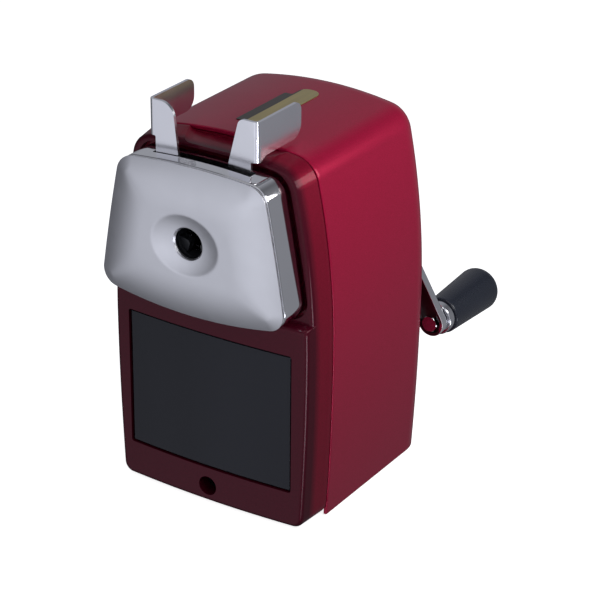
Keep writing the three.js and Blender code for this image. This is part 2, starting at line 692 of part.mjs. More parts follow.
function claw(degrees) {
  const shape = new THREE.Shape();
  shape.moveTo(CLAW_TIP_R, -0.6);
  shape.lineTo(CLAW_TIP_R + 2.2, -2.7);
  shape.lineTo(13.4, -2.7);
  shape.lineTo(13.4, 2.7);
  shape.lineTo(CLAW_TIP_R + 2.2, 2.7);
  shape.lineTo(CLAW_TIP_R, 0.6);
  const body = prism(shape, -37.8, -34.7);
  const pin = rod(CLAW_PIN_R, -34.9, -31, CLAW_PIN_RING, 0, 12);
  const geometry = geometryOf(join(body, pin));
  geometry.rotateY(-THREE.MathUtils.degToRad(degrees));
  geometry.translate(0, 0, AXIS_Z);
  return solidOf(geometry);
}

// A slot that carries the claw pin outwards as its lever turns by LEVER_TURN towards the middle.
function spiralSlot(degrees, hand, y0, y1) {
  const width = CLAW_PIN_R + 0.35;
  const outer = [];
  const inner = [];
  for (let i = 0; i <= 4; i++) {
    const share = i / 4;
    const angle = THREE.MathUtils.degToRad(degrees + hand * LEVER_TURN * share);
    const radius = CLAW_PIN_RING + CLAW_TRAVEL * share;
    const slope = CLAW_TRAVEL / (radius * THREE.MathUtils.degToRad(LEVER_TURN));
    const stretch = width * Math.hypot(1, slope);
    const middle = { x: 0, z: AXIS_Z };
    outer.push(...arcPoints(middle, radius + stretch, angle, angle, 1).slice(1));
    inner.push(...arcPoints(middle, radius - stretch, angle, angle, 1).slice(1));
  }
  const end = (share) => {
    const [x, z] = onCircle(CLAW_PIN_RING + CLAW_TRAVEL * share, degrees + hand * LEVER_TURN * share);
    return rod(width, y0, y1, x, z, 12);
  };
  return join(prism([...outer, ...inner.reverse()], y0, y1), end(0), end(1));
}

// side is -1 for the left lever and 1 for the right one; the wing is the part that fingers squeeze.
// The tab's inner edge leans from 8.4 at the carriage's top out to innerTop, with a round corner.
function lever(side, y0, y1, wingRear, wingBottom, top, innerTop, cornerR) {
  const outer = 18.9;
  const base = 117.3;
  const lean = Math.atan2(innerTop - 8.4, top - base);
  const tangent = cornerR * Math.tan((Math.PI / 2 - lean) / 2);
  const centre = { x: innerTop + tangent, z: top - cornerR };
  const corner = arcPoints(centre, cornerR, Math.PI / 2, Math.PI - lean, 4);
  const points = [
    [8.4, AXIS_Z + 8],
    [16.4, AXIS_Z + 4],
    [16.4, 122.2],
    [outer, 122.8],
    [outer, top],
    ...corner.map((point) => [point.x, point.y]),
    [8.4, base],
  ];
  const arm = prism(points.map(([x, z]) => new THREE.Vector2(side * x, z)), y0, y1);
  const wingX = side > 0 ? outer - 1.2 : -outer;
  const wing = box(wingX, wingX + 1.2, y0, wingRear, wingBottom, top);
  return cut(
    join(arm, wing, rod(LEVER_RING.outer, y0, y1, 0, AXIS_Z, 32)),
    rod(LEVER_RING.inner, y0 - 1, y1 + 1, 0, AXIS_Z, 24),
    ...CLAW_ANGLES.map((degrees) => spiralSlot(degrees, -side, y0 - 1, y1 + 1)),
  );
}

const guideRod = (side) => rod(ROD.radius, ROD.front, ROD.rear, side * ROD.x, ROD.z, 16);
const onRod = (side, outer, inner, y0, y1) => tube(outer, inner, y0, y1, side * ROD.x, ROD.z, 16);
const rodClip = (side) => onRod(side, 4.2, ROD.radius + FIT, CLIP_FRONT_Y, CLIP_FRONT_Y + 1);
const returnSpring = (side) => onRod(side, 3.4, 2.5, SPRING_FRONT_Y, CLIP_FRONT_Y - FIT);

function guideBush(side) {
  const x = side * ROD.x;
  const body = join(rod(3.6, -25.2, -16.3, x, ROD.z, 16), rod(4.8, -22.2, -21, x, ROD.z, 16));
  return cut(body, rod(ROD.radius + FIT, -30, -10, x, ROD.z, 16));
}

function leverSpring() {
  const geometry = new THREE.CylinderGeometry(1.6, 1.6, 15.8, 14);
  geometry.rotateZ(Math.PI / 2);
  geometry.translate(0, -32.7, 112.5);
  return solidOf(geometry);
}

// ---- Assembly --------------------------------------------------------------------------
const FINISH = {
  red_paint: { color: 0x8f1c38, roughness: 0.25, metalness: 0.6 },
  chrome: { color: 0xc8c8ce, roughness: 0.12, metalness: 1 },
  satin_metal: { color: 0xb9b9c0, roughness: 0.35, metalness: 1 },
  steel: { color: 0x8c8c90, roughness: 0.35, metalness: 1 },
  black_plastic: { color: 0x1e2026, roughness: 0.45, metalness: 0 },
  smoked_plastic: { color: 0x25262c, roughness: 0.1, metalness: 0 },
  rubber: { color: 0x17171a, roughness: 0.85, metalness: 0 },
  brass: { color: 0xb6934d, roughness: 0.35, metalness: 1 },
  foil: { color: 0xa8974f, roughness: 0.4, metalness: 0.8 },
};

const sharpener = new THREE.Group();

function add(name, solid, finish) {
  const mesh = new THREE.Mesh(geometryOf(solid), new THREE.MeshStandardMaterial(FINISH[finish]));
  mesh.geometry.computeVertexNormals();
  mesh.name = name;
  sharpener.add(mesh);
}

const bothSides = [
  ["left", -1],
  ["right", 1],
];

add("main_shell", mainShell(), "red_paint");
add("front_bezel", frontBezel(), "red_paint");
add("base_plate", basePlate(), "black_plastic");
FOOT_PLACES.forEach((place, i) => add("rubber_foot_" + (i + 1), rubberFoot(place), "rubber"));
BASE_SCREW_PLACES.forEach((place, i) => add("base_screw_" + (i + 1), baseScrew(place), "steel"));
add("clamp_socket", clampSocket(), "steel");
add("top_label", topLabel(), "foil");
add("drawer", drawer(), "smoked_plastic");

add("mechanism_housing", mechanismHousing(), "black_plastic");
housingScrewPlaces().forEach((place, i) => add("housing_screw_" + (i + 1), housingScrew(place), "steel"));
add("ring_gear", ringGear(), "steel");
add("cutter_carrier", cutterCarrier(), "satin_metal");
add("cutter_pin", cutterPin(), "steel");
add("cutter", cutter(), "steel");
add("cutter_pinion", cutterPinion(), "steel");
add("pencil_guide", pencilGuide(), "black_plastic");

add("crank_shaft", crankShaft(), "steel");
add("rear_bush", rearBush(), "black_plastic");
add("rear_escutcheon", rearEscutcheon(), "chrome");
add("crank_arm", crankArm(), "chrome");
add("crank_nut", crankNut(), "chrome");
add("handle_spindle", handleSpindle(), "chrome");
add("handle_ferrule", handleFerrule(), "chrome");
add("handle_grip", handleGrip(), "black_plastic");

add("face_plate", facePlate(), "satin_metal");
PLATE_POSTS.forEach((place, i) => add("face_screw_" + (i + 1), faceScrew(place), "steel"));
add("carriage_frame", carriageFrame(), "chrome");
add("chuck_housing", chuckHousing(), "black_plastic");
CLAW_ANGLES.forEach((degrees, i) => add("claw_" + (i + 1), claw(degrees), "black_plastic"));
add("lever_left", lever(-1, -34, -33, -12, 122.8, 132.6, 11.9, 6.5), "chrome");
add("lever_right", lever(1, -32.4, -31.4, -9.5, 121.1, 132.2, 12.2, 2.2), "chrome");
add("lever_spring", leverSpring(), "steel");
for (const [name, side] of bothSides) {
  add("guide_rod_" + name, guideRod(side), "steel");
  add("guide_bush_" + name, guideBush(side), "brass");
  add("rod_clip_" + name, rodClip(side), "steel");
  add("return_spring_" + name, returnSpring(side), "steel");
}

export default sharpener;
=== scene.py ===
"""Looks of a hand-cranked desk pencil sharpener.

Pieces are shaped in millimetres and placed in metres.
"""

import math

import bmesh
import bpy
from mathutils import Matrix, Vector


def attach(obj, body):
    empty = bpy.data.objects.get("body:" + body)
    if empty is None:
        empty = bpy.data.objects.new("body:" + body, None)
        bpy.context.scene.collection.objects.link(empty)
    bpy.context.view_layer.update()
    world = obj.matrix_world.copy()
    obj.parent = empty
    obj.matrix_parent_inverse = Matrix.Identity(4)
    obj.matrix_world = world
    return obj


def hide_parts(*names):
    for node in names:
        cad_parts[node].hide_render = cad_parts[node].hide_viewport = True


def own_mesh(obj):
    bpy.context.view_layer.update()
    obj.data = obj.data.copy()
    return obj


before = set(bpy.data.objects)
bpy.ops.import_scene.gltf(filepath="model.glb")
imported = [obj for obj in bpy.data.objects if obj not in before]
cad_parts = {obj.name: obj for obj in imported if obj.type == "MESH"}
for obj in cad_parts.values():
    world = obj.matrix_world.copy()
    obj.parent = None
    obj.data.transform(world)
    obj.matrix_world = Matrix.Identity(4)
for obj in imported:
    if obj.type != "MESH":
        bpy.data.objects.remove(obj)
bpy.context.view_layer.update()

MM = 0.001
MERGE = 0.0004  # millimetres between points that count as one
TINY = 1e-4  # radius that stands for none in the middle of a lathe form
AXIS_Z = 93.0  # pencil, crank and lever axis
FOOT = 0.8  # bottom of the case
CASE_TOP = 121.0
HALF_WIDTH = 37.1
WIDEST_Z = 58.8  # height where the case is widest
CASE_REAR = 42.0
ROD_X, ROD_Z = 25.0, 80.0
HANDLE_X, HANDLE_Z = 33.8, 40.4
CLAMP_Z, CLAMP_R = 6.6, 3.25

# ---- Flat outlines, as (x, z) points ----


def arc(centre, radius, start, end, steps):
    """Points on a circle, angles in radians."""
    turns = [start + (end - start) * i / steps for i in range(steps + 1)]
    return [(centre[0] + radius * math.cos(t), centre[1] + radius * math.sin(t)) for t in turns]


def toward(a, b):
    return math.atan2(b[1] - a[1], b[0] - a[0])


def corner_centre(first, first_r, second, second_r, radius):
    """Centre of a round corner inside two circles, on the right-hand side."""
    a, b = first_r - radius, second_r - radius
    gap = math.dist(first, second)
    along = (a * a - b * b + gap * gap) / (2 * gap)
    across = math.sqrt(a * a - along * along)
    ux, uz = (second[0] - first[0]) / gap, (second[1] - first[1]) / gap
    options = [
        (first[0] + ux * along - uz * across * s, first[1] + uz * along + ux * across * s)
        for s in (1, -1)
    ]
    return max(options)


def mirrored(half):
    """A half outline that ends on the middle line, and its mirror image."""
    left = [(-x, z) for x, z in reversed(half[:-1])]
    return half + (left[:-1] if abs(half[0][0]) < 1e-6 else left)


def softened(points, radius, steps=4, closed=True):
    """The outline with each corner rounded; radius is one number or one for each point."""
    count = len(points)
    radii = radius if hasattr(radius, "__len__") else [radius] * count
    out = []
    for i, point in enumerate(points):
        r = radii[i]
        if r <= 0 or (not closed and i in (0, count - 1)):
            out.append(point)
            continue
        here = Vector(point)
        back = Vector(points[i - 1]) - here
        on = Vector(points[(i + 1) % count]) - here
        bend = back.angle(on, math.pi)
        if bend > math.radians(178):
            out.append(point)
            continue
        reach = min(r / math.tan(bend / 2), 0.49 * back.length, 0.49 * on.length)
        r = reach * math.tan(bend / 2)
        a, b = here + back.normalized() * reach, here + on.normalized() * reach
        halfway = (back.normalized() + on.normalized()).normalized()
        middle = here + halfway * (r / math.sin(bend / 2))
        start, end = toward(middle, a), toward(middle, b)
        end = start + (end - start + math.pi) % (2 * math.pi) - math.pi
        out += arc(middle, r, start, end, steps)
    return out


CROWN_R, UPPER_R, LOWER_R, SHOULDER_R = 140.0, 240.0, 900.0, 9.0
CROWN = (0.0, CASE_TOP - CROWN_R)
UPPER = (HALF_WIDTH - UPPER_R, WIDEST_Z)
LOWER = (HALF_WIDTH - LOWER_R, WIDEST_Z)
SHOULDER = corner_centre(UPPER, UPPER_R, CROWN, CROWN_R, SHOULDER_R)
BOTTOM_R = 5.0
BOTTOM_STEPS, FOOT_STEPS, SHOULDER_STEPS, CROWN_STEPS = 14, 8, 14, 26


def side_x(z, inset):
    """How far out the body's side is at a height."""
    centre, radius = (LOWER, LOWER_R) if z < WIDEST_Z else (UPPER, UPPER_R)
    return centre[0] + math.sqrt((radius - inset) ** 2 - (z - centre[1]) ** 2)


def body_half(inset, heights, bottom=None):
    """Right half of the body's section, bottom to crown, through these side heights."""
    low = FOOT + BOTTOM_R
    corner = (LOWER[0] + math.sqrt((LOWER_R - BOTTOM_R) ** 2 - (low - WIDEST_Z) ** 2), low)
    if bottom is None:
        half = [(corner[0] * i / BOTTOM_STEPS, FOOT + inset) for i in range(BOTTOM_STEPS)]
        to_side = toward(LOWER, corner)
        half += arc(corner, BOTTOM_R - inset, -math.pi / 2, to_side, FOOT_STEPS)
    else:
        half = [(side_x(FOOT, inset), bottom)]
    half += [(side_x(z, inset), z) for z in heights]
    to_side, to_crown = toward(UPPER, SHOULDER), toward(CROWN, SHOULDER)
    half += arc(SHOULDER, SHOULDER_R - inset, to_side, to_crown, SHOULDER_STEPS)
    half += arc(CROWN, CROWN_R - inset, to_crown, math.pi / 2, CROWN_STEPS)[1:]
    return half


def spread(a, b, count):
    """Evenly spaced numbers from a to b."""
    return [a + (b - a) * i / (count - 1) for i in range(count)]


SIDE_HEIGHTS = spread(8.0, 108.0, 44)

TOP_R, FLANK_R, LOW_R = 220.0, 600.0, 146.0
TOP_C = (0.0, 116.8 - TOP_R)
FLANK = (-560.7, -12.0)
LOW_C = (0.0, 68.8 + LOW_R)
UP_CORNER_R, LOW_CORNER_R = 6.5, 5.5
UP_CORNER = corner_centre(FLANK, FLANK_R, TOP_C, TOP_R, UP_CORNER_R)
LOW_CORNER = corner_centre(FLANK, FLANK_R, LOW_C, LOW_R, LOW_CORNER_R)


def plate_outline(inset, fine=1):
    """The face plate's outline, shrunk all round by inset."""
    low, side = toward(LOW_C, LOW_CORNER), toward(FLANK, LOW_CORNER)
    up, top = toward(FLANK, UP_CORNER), toward(TOP_C, UP_CORNER)
    half = arc(LOW_C, LOW_R - inset, -math.pi / 2, low, 16 * fine)
    half += arc(LOW_CORNER, LOW_CORNER_R - inset, low, side, 8 * fine)[1:]
    half += arc(FLANK, FLANK_R - inset, side, up, 20 * fine)[1:]
    half += arc(UP_CORNER, UP_CORNER_R - inset, up, top, 8 * fine)[1:]
    half += arc(TOP_C, TOP_R - inset, top, math.pi / 2, 16 * fine)[1:]
    return mirrored(half)


def circle(x, z, radius, count=64):
    return arc((x, z), radius, 0, 2 * math.pi, count)[:-1]


def link_outline(r_hub, r_end):
    """Round two circles and their outer tangents: the crank arm's outline."""
    hub, end = (0.0, AXIS_Z), (HANDLE_X, HANDLE_Z)
    along = toward(hub, end)
    tangent = math.acos((r_hub - r_end) / math.dist(hub, end))
    first = arc(hub, r_hub, along + tangent, along - tangent + 2 * math.pi, 40)
    return first + arc(end, r_end, along - tangent, along + tangent, 28)


# ---- Solids ----


def added(name, data):
    """A new object in the scene."""
    made = bpy.data.objects.new(name, data)
    bpy.context.scene.collection.objects.link(made)
    return made


def solid(points, faces):
    """A mesh object in millimetres, with its faces turned outwards."""
    mesh = bpy.data.meshes.new("shape")
    mesh.from_pydata([tuple(p) for p in points], [], [tuple(f) for f in faces])
    work = bmesh.new()
    work.from_mesh(mesh)
    bmesh.ops.remove_doubles(work, verts=work.verts, dist=1e-5)
    bmesh.ops.dissolve_degenerate(work, edges=work.edges, dist=1e-6)
    bmesh.ops.recalc_face_normals(work, faces=work.faces)
    work.to_mesh(mesh)
    work.free()
    return added("shape", mesh)


def loft(rings, closed=False):
    """A skin through rings of (x, y, z) points with equal counts, capped or closed on itself."""
    count = len(rings[0])
    points = [p for ring in rings for p in ring]
    faces = []
    last = len(rings) if closed else len(rings) - 1
    for k in range(last):
        a, b = k * count, ((k + 1) % len(rings)) * count
        faces += [(a + i, a + (i + 1) % count, b + (i + 1) % count, b + i) for i in range(count)]
    if not closed:
        faces.append(tuple(reversed(range(count))))
        faces.append(tuple(range((len(rings) - 1) * count, len(rings) * count)))
    return solid(points, faces)


def at_y(outline, y):
    return [(x, y, z) for x, z in outline]


def prism(outline, y0, y1):
    return loft([at_y(outline, y0), at_y(outline, y1)])


def block(x0, x1, y0, y1, z0, z1):
    return prism([(x0, z0), (x1, z0), (x1, z1), (x0, z1)], y0, y1)


def turned(profile, x=0.0, z=AXIS_Z, count=64, soften=0.0, hollow=False):
    """A lathe form round a line along Y; profile is (radius, y) points."""
    points = softened(profile, soften, 3, closed=hollow) if soften else profile
    turns = [2 * math.pi * i / count for i in range(count)]
    rings = [[(x + r * math.cos(t), y, z + r * math.sin(t)) for t in turns] for r, y in points]
    return loft(rings, closed=hollow)


def rod(radius, y0, y1, x=0.0, z=AXIS_Z, count=64, soften=0.0):
    return turned([(TINY, y0), (radius, y0), (radius, y1), (TINY, y1)], x, z, count, soften)


def tube(outer, inner, y0, y1, x=0.0, z=AXIS_Z, count=64, soften=0.0):
    profile = [(inner, y0), (outer, y0), (outer, y1), (inner, y1)]
    return turned(profile, x, z, count, soften, hollow=True)


def moved(shape, matrix):
    shape.data.transform(matrix)
    return shape


def stand_up(shape, x, y):
    """Turns a form made along Y round the origin so that it stands along Z at (x, y)."""
    return moved(shape, Matrix.Translation((x, y, 0)) @ Matrix.Rotation(math.pi / 2, 4, "X"))


def swung(shape, degrees):
    """Turns a form made along X so that it points at this angle round the pencil axis."""
    turn = Matrix.Translation((0, 0, AXIS_Z)) @ Matrix.Rotation(-math.radians(degrees), 4, "Y")
    return moved(shape, turn)


def applied(shape):
    """Bakes a form's modifiers into its mesh."""
    bpy.context.view_layer.update()
    graph = bpy.context.evaluated_depsgraph_get()
    mesh = bpy.data.meshes.new_from_object(shape.evaluated_get(graph))
    shape.modifiers.clear()
    shape.data = mesh
    return shape


def combined(shape, tools, operation):
    for tool in tools:
        step = shape.modifiers.new("step", "BOOLEAN")
        step.object = tool
        step.operation = operation
        step.solver = "MANIFOLD"
    applied(shape)
    for tool in tools:
        bpy.data.objects.remove(tool)
    return shape


def cut(shape, *tools):
    return combined(shape, tools, "DIFFERENCE")


def join(shape, *tools):
    return combined(shape, tools, "UNION")


def common(shape, *tools):
    return combined(shape, tools, "INTERSECT")


def bevelled(shape, width, segments=3, angle=32):
    step = shape.modifiers.new("bevel", "BEVEL")
    step.width = width
    step.segments = segments
    step.limit_method = "ANGLE"
    step.angle_limit = math.radians(angle)
    step.miter_outer = "MITER_ARC"
    step.use_clamp_overlap = True
    return applied(shape)


def merged(*shapes):
    """One object that holds several forms which only touch or lie apart."""
    work = bmesh.new()
    for shape in shapes:
        work.from_mesh(shape.data)
    mesh = bpy.data.meshes.new("shape")
    work.to_mesh(mesh)
    work.free()
    for shape in shapes:
        bpy.data.objects.remove(shape)
    return added("shape", mesh)


def coil(radius, wire, start, end, turns, closed_turns):
    """A compression spring along Y round the origin, with its end turns lying flat together."""
    steps, around = 20, 8
    total = int(turns * steps)
    pitch_low = 2.05 * wire
    span = (end - start) - 2 * wire
    middle = turns - 2 * closed_turns
    pitch = (span - 2 * closed_turns * pitch_low) / middle
    rings = []
    for i in range(total + 1):
        t = i / steps
        low = min(t, closed_turns)
        high = max(0.0, t - (turns - closed_turns))
        y = start + wire + (low + high) * pitch_low + (t - low - high) * pitch
        angle = 2 * math.pi * t
        out = Vector((math.cos(angle), 0, math.sin(angle)))
        ring = []
        for k in range(around):
            phase = 2 * math.pi * k / around
            spot = out * (radius + wire * math.cos(phase))
            ring.append(tuple(spot + Vector((0, y + wire * math.sin(phase), 0))))
        rings.append(ring)
    return loft(rings)


def cleaned(mesh):
    """Merges points that lie on each other, which leaves no face without an area."""
    work = bmesh.new()
    work.from_mesh(mesh)
    bmesh.ops.remove_doubles(work, verts=work.verts, dist=MERGE)
    bmesh.ops.dissolve_degenerate(work, edges=work.edges, dist=MERGE)
    bmesh.ops.holes_fill(work, edges=[edge for edge in work.edges if edge.is_boundary])
    work.to_mesh(mesh)
    work.free()


def place(shape, name, body, slot, material, *nodes, smooth=35, weighted=True):
    """Finishes a form: metres, smooth shading, material, body, and hides its CAD nodes; slot is not
    used.
    """
    shape.name = name
    mesh = shape.data
    mesh.name = name
    cleaned(mesh)
    mesh.transform(Matrix.Scale(MM, 4))
    mesh.shade_smooth()
    mesh.set_sharp_from_angle(angle=math.radians(smooth))
    if weighted:
        step = shape.modifiers.new("normals", "WEIGHTED_NORMAL")
        step.keep_sharp = True
        step.weight = 60
        applied(shape)
        shape.data.name = name
    shape.data.materials.clear()
    shape.data.materials.append(material)
    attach(shape, body)
    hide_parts(*(nodes or (name,)))
    return shape


# ---- Materials ----


class Finish:
    """A material with helpers that wire procedural detail into one Principled shader."""

    def __init__(self, name, **values):
        self.material = bpy.data.materials.new(name)
        self.material.use_nodes = True
        self.tree = self.material.node_tree
        self.shader = self.tree.nodes["Principled BSDF"]
        self.place = self.add("ShaderNodeTexCoord").outputs["Object"]
        for key, value in values.items():
            self.shader.inputs[key.replace("_", " ")].default_value = value

    def add(self, kind, **settings):
        node = self.tree.nodes.new(kind)
        for key, value in settings.items():
            if key in node.inputs:
                node.inputs[key].default_value = value
            else:
                setattr(node, key, value)
        return node

    def link(self, out, into):
        self.tree.links.new(out, into)

    def stretched(self, scale):
        node = self.add("ShaderNodeMapping")
        node.inputs["Scale"].default_value = scale
        self.link(self.place, node.inputs["Vector"])
        return node.outputs["Vector"]

    def noise(self, scale, detail=2.0, where=None):
        node = self.add("ShaderNodeTexNoise", Scale=scale, Detail=detail)
        self.link(where or self.place, node.inputs["Vector"])
        return node.outputs["Fac"]

    def ramp(self, fac, stops):
        node = self.add("ShaderNodeValToRGB")
        ramp = node.color_ramp
        while len(ramp.elements) < len(stops):
            ramp.elements.new(0.5)
        for element, (spot, colour) in zip(ramp.elements, stops):
            element.position = spot
            element.color = colour if len(colour) == 4 else (*colour, 1)
        self.link(fac, node.inputs["Fac"])
        return node.outputs["Color"]

    def remap(self, fac, low, high, start=0.0, end=1.0):
        node = self.add("ShaderNodeMapRange")
        for word, ends in (("From", (start, end)), ("To", (low, high))):
            node.inputs[word + " Min"].default_value = ends[0]
            node.inputs[word + " Max"].default_value = ends[1]
        self.link(fac, node.inputs["Value"])
        return node.outputs["Result"]

    def axis(self, name):
        split = self.add("ShaderNodeSeparateXYZ")
        self.link(self.place, split.inputs[0])
        return split.outputs[name]

    def mixed(self, factor, a, b, blend="MIX"):
        node = self.add("ShaderNodeMix", data_type="RGBA", blend_type=blend)
        if isinstance(factor, float):
            node.inputs["Factor"].default_value = factor
        else:
            self.link(factor, node.inputs["Factor"])
        self.link(a, node.inputs["A"])
        self.link(b, node.inputs["B"])
        return node.outputs["Result"]

    def into(self, out, name):
        self.link(out, self.shader.inputs[name])

    def bump(self, height, distance, strength=1.0, coat=False):
        node = self.add("ShaderNodeBump", Distance=distance, Strength=strength)
        self.link(height, node.inputs["Height"])
        self.link(node.outputs["Normal"], self.shader.inputs["Coat Normal" if coat else "Normal"])


def grey(value, tint=0.0):
    return (value, value, value * (1 + tint))


FINEST = 5200.0  # noise scale of metal flake and of lathe rings
# Where along Y the painted light on the bezel's sides fades in
PAINTED_LIGHT_ENDS = (-0.0272, -0.0245)  # metres along Y
GOLD_ENDS = (-0.0017, -0.0015)  # metres along X


def metallic_lacquer(name, colours, roughness, coat, painted_light_sides=None):
    """Metal flake in coloured lacquer under a clear coat; the optional side colours are lighter
    copies, painted light that takes over further back.
    """
    f = Finish(name, Metallic=0.35, Specular_IOR_Level=0.08, Coat_Roughness=0.03, Coat_IOR=1.5)
    f.shader.inputs["Coat Weight"].default_value = coat
    speck = f.remap(f.noise(FINEST, 1.0), 0.0, 1.0, 0.32, 0.68)
    paint = f.ramp(speck, list(zip((0.0, 1.0), colours)))
    if painted_light_sides:
        # Painted light: further back along Y the colour turns to the lighter side copies
        back = f.remap(f.axis("Y"), 0.0, 1.0, *PAINTED_LIGHT_ENDS)
        paint = f.mixed(back, paint, f.ramp(speck, list(zip((0.0, 1.0), painted_light_sides))))
    f.into(paint, "Base Color")
    f.into(f.remap(f.noise(60.0, 3.0), roughness - 0.03, roughness + 0.04), "Roughness")
    f.bump(f.noise(140.0, 2.0), 0.00012, 0.25, coat=True)
    return f.material


def plated(name, tone, tint, roughness, grain, depth, strength=0.3):
    """Metal with a fine surface grain and slightly uneven gloss."""
    f = Finish(name, Metallic=1.0)
    cloud = f.noise(35.0, 3.0)
    f.into(f.ramp(cloud, [(0.3, grey(tone * 0.95, tint)), (0.7, grey(tone, tint))]), "Base Color")
    f.into(f.remap(f.noise(220.0, 3.0), roughness * 0.82, roughness * 1.18), "Roughness")
    if strength:
        f.bump(f.noise(grain, 2.0), depth, strength)
    return f.material


def turned_metal(name, colour, roughness, along="Y"):
    """Fine rings left by a lathe tool round a line along Y."""
    f = Finish(name, Metallic=1.0)
    squeeze = {"Y": (0.06, 1.0, 0.06), "Z": (0.06, 0.06, 1.0), "X": (1.0, 0.06, 0.06)}[along]
    rings = f.noise(FINEST, 1.0, f.stretched(squeeze))
    dark = tuple(c * 0.8 for c in colour)
    f.into(f.ramp(rings, [(0.25, dark), (0.75, colour)]), "Base Color")
    f.into(f.remap(f.noise(260.0, 2.0), roughness * 0.8, roughness * 1.25), "Roughness")
    f.bump(rings, 0.00004, 0.4)
    return f.material


def moulded(name, colour, roughness, grain, depth, sheen=0.0):
    """Moulded plastic or rubber with an eroded fine texture."""
    f = Finish(name, Sheen_Weight=sheen)
    cloud = f.noise(48.0, 3.0)
    light = tuple(c * 1.25 for c in colour)
    f.into(f.ramp(cloud, [(0.3, colour), (0.75, light)]), "Base Color")
    f.into(f.remap(f.noise(grain * 0.4, 2.0), roughness - 0.05, roughness + 0.07), "Roughness")
    f.bump(f.noise(grain, 2.0), depth, 0.5)
    return f.material


def smoked():
    """Smoked clear plastic with faint flow marks and handling haze."""
    f = Finish("smoked_clear", IOR=1.49, Transmission_Weight=0.3, Specular_IOR_Level=0.12)
    flow = f.noise(18.0, 2.0, f.stretched((1.0, 1.0, 0.25)))
    clear = f.ramp(flow, [(0.3, (0.015, 0.016, 0.024)), (0.8, (0.028, 0.03, 0.042))])
    f.into(clear, "Base Color")
    f.into(f.remap(f.noise(120.0, 4.0), 0.015, 0.06), "Roughness")
    return f.material


def foil_label():
    """Printed foil: a gold field and a dark brown field, with a fine brushed grain."""
    f = Finish("label_foil", Metallic=0.75, Coat_Weight=0.35, Coat_Roughness=0.2)
    band = f.remap(f.axis("X"), 1.0, 0.0, *GOLD_ENDS)
    tone = f.ramp(band, [(0.0, (0.5, 0.4, 0.15)), (1.0, (0.035, 0.022, 0.012))])
    grain = f.noise(900.0, 2.0, f.stretched((1.0, 0.05, 1.0)))
    brushed = f.ramp(grain, [(0.2, grey(0.6)), (0.8, grey(1.0))])
    f.into(f.mixed(0.5, tone, brushed, "MULTIPLY"), "Base Color")
    f.into(f.remap(grain, 0.3, 0.42), "Roughness")
    return f.material


SHELL_RED = ((0.29, 0.004, 0.029), (0.42, 0.007, 0.052))
BEZEL_FRONT = ((0.052, 0.001, 0.008), (0.082, 0.003, 0.014))
# Lighter copies of the bezel's colour: painted light on its sides, where the lamp falls
BEZEL_SIDES_PAINTED_LIGHT = ((0.15, 0.002, 0.014), (0.24, 0.004, 0.026))
RED = metallic_lacquer("crimson_lacquer", SHELL_RED, 0.32, 0.26)
MAROON = metallic_lacquer("maroon_lacquer", BEZEL_FRONT, 0.4, 0.24, BEZEL_SIDES_PAINTED_LIGHT)
CHROME = plated("polished_chrome", 0.86, 0.03, 0.055, 900.0, 0.00001, 0.0)
LEVER_PLATE = plated("satin_lever_plate", 0.84, 0.05, 0.2, 2600.0, 0.00001, 0.2)
SATIN = plated("satin_plate", 0.74, 0.045, 0.36, 4200.0, 0.00002, 0.35)
BLASTED = plated("blasted_metal", 0.5, 0.02, 0.42, 3600.0, 0.00003, 0.5)
STEEL = turned_metal("turned_steel", (0.55, 0.55, 0.57), 0.28)
STEEL_UP = turned_metal("turned_steel_upright", (0.5, 0.5, 0.52), 0.3, "Z")
WIRE = turned_metal("spring_wire", (0.48, 0.48, 0.5), 0.3, "X")
BRASS = turned_metal("turned_brass", (0.66, 0.48, 0.2), 0.26)
# Dark plating for the crank arm's channel: painted shade where the channel lies in shadow
CHANNEL_PAINTED_SHADE = plated("arm_channel_shade", 0.16, 0.03, 0.3, 2600.0, 0.00002, 0.3)
DARK_STEEL = turned_metal("blackened_steel", (0.02, 0.02, 0.022), 0.5)
BLACK = moulded("black_moulding", (0.014, 0.015, 0.018), 0.42, 3200.0, 0.00004)
GRIP = moulded("grip_moulding", (0.013, 0.016, 0.026), 0.26, 3600.0, 0.00002)
FERRULE = plated("satin_chrome", 0.7, 0.04, 0.16, 1800.0, 0.00001, 0.2)
RUBBER = moulded("foot_rubber", (0.012, 0.012, 0.013), 0.8, 1800.0, 0.0001, sheen=0.2)
SMOKED = smoked()
FOIL = foil_label()

# ---- Casing ----


def shell_skin(inset, front_y, bottom, front_round):
    """The shell's outside, or with an inset its inside."""
    side_r, top_r, rear = 11.0 - inset, 9.5 - inset, CASE_REAR - inset
    half_width = HALF_WIDTH - inset
    rings = []
    if front_round:
        for shrink, back in ((0.35, 0.0), (0.2, 0.06), (0.08, 0.17), (0.0, 0.36)):
            outline = mirrored(body_half(inset + shrink, SIDE_HEIGHTS, bottom))
            rings.append(at_y(outline, front_y + back))
    outline = mirrored(body_half(inset, SIDE_HEIGHTS, bottom))
    if not front_round:
        rings.append(at_y(outline, front_y))
    for y in spread(front_y + 1.0, rear - side_r - 0.5, 12):
        rings.append(at_y(outline, y))
    height = CASE_TOP - inset - FOOT
    for angle in [90 * i / 24 for i in range(25)]:
        y = rear - side_r + side_r * math.sin(math.radians(angle))
        narrower = side_r - math.sqrt(max(0.0, side_r**2 - (y - rear + side_r) ** 2))
        past = max(0.0, y - rear + top_r)
        lower = top_r - math.sqrt(max(0.0, top_r**2 - past**2))
        ring = []
        for x, z in outline:
            drop = 0.0 if z <= FOOT else lower * (z - FOOT) / height
            ring.append((x * (half_width - narrower) / half_width, y, z - drop))
        rings.append(ring)
    return loft(rings)


def main_shell():
    """The sheet case, open in front and below, with the hole for the crank's shaft."""
    shell = shell_skin(0.0, -18.4, FOOT, True)
    inside = shell_skin(1.2, -19.5, -5.0, False)
    hole = rod(5.8, 38, 45)
    return cut(shell, inside, hole)


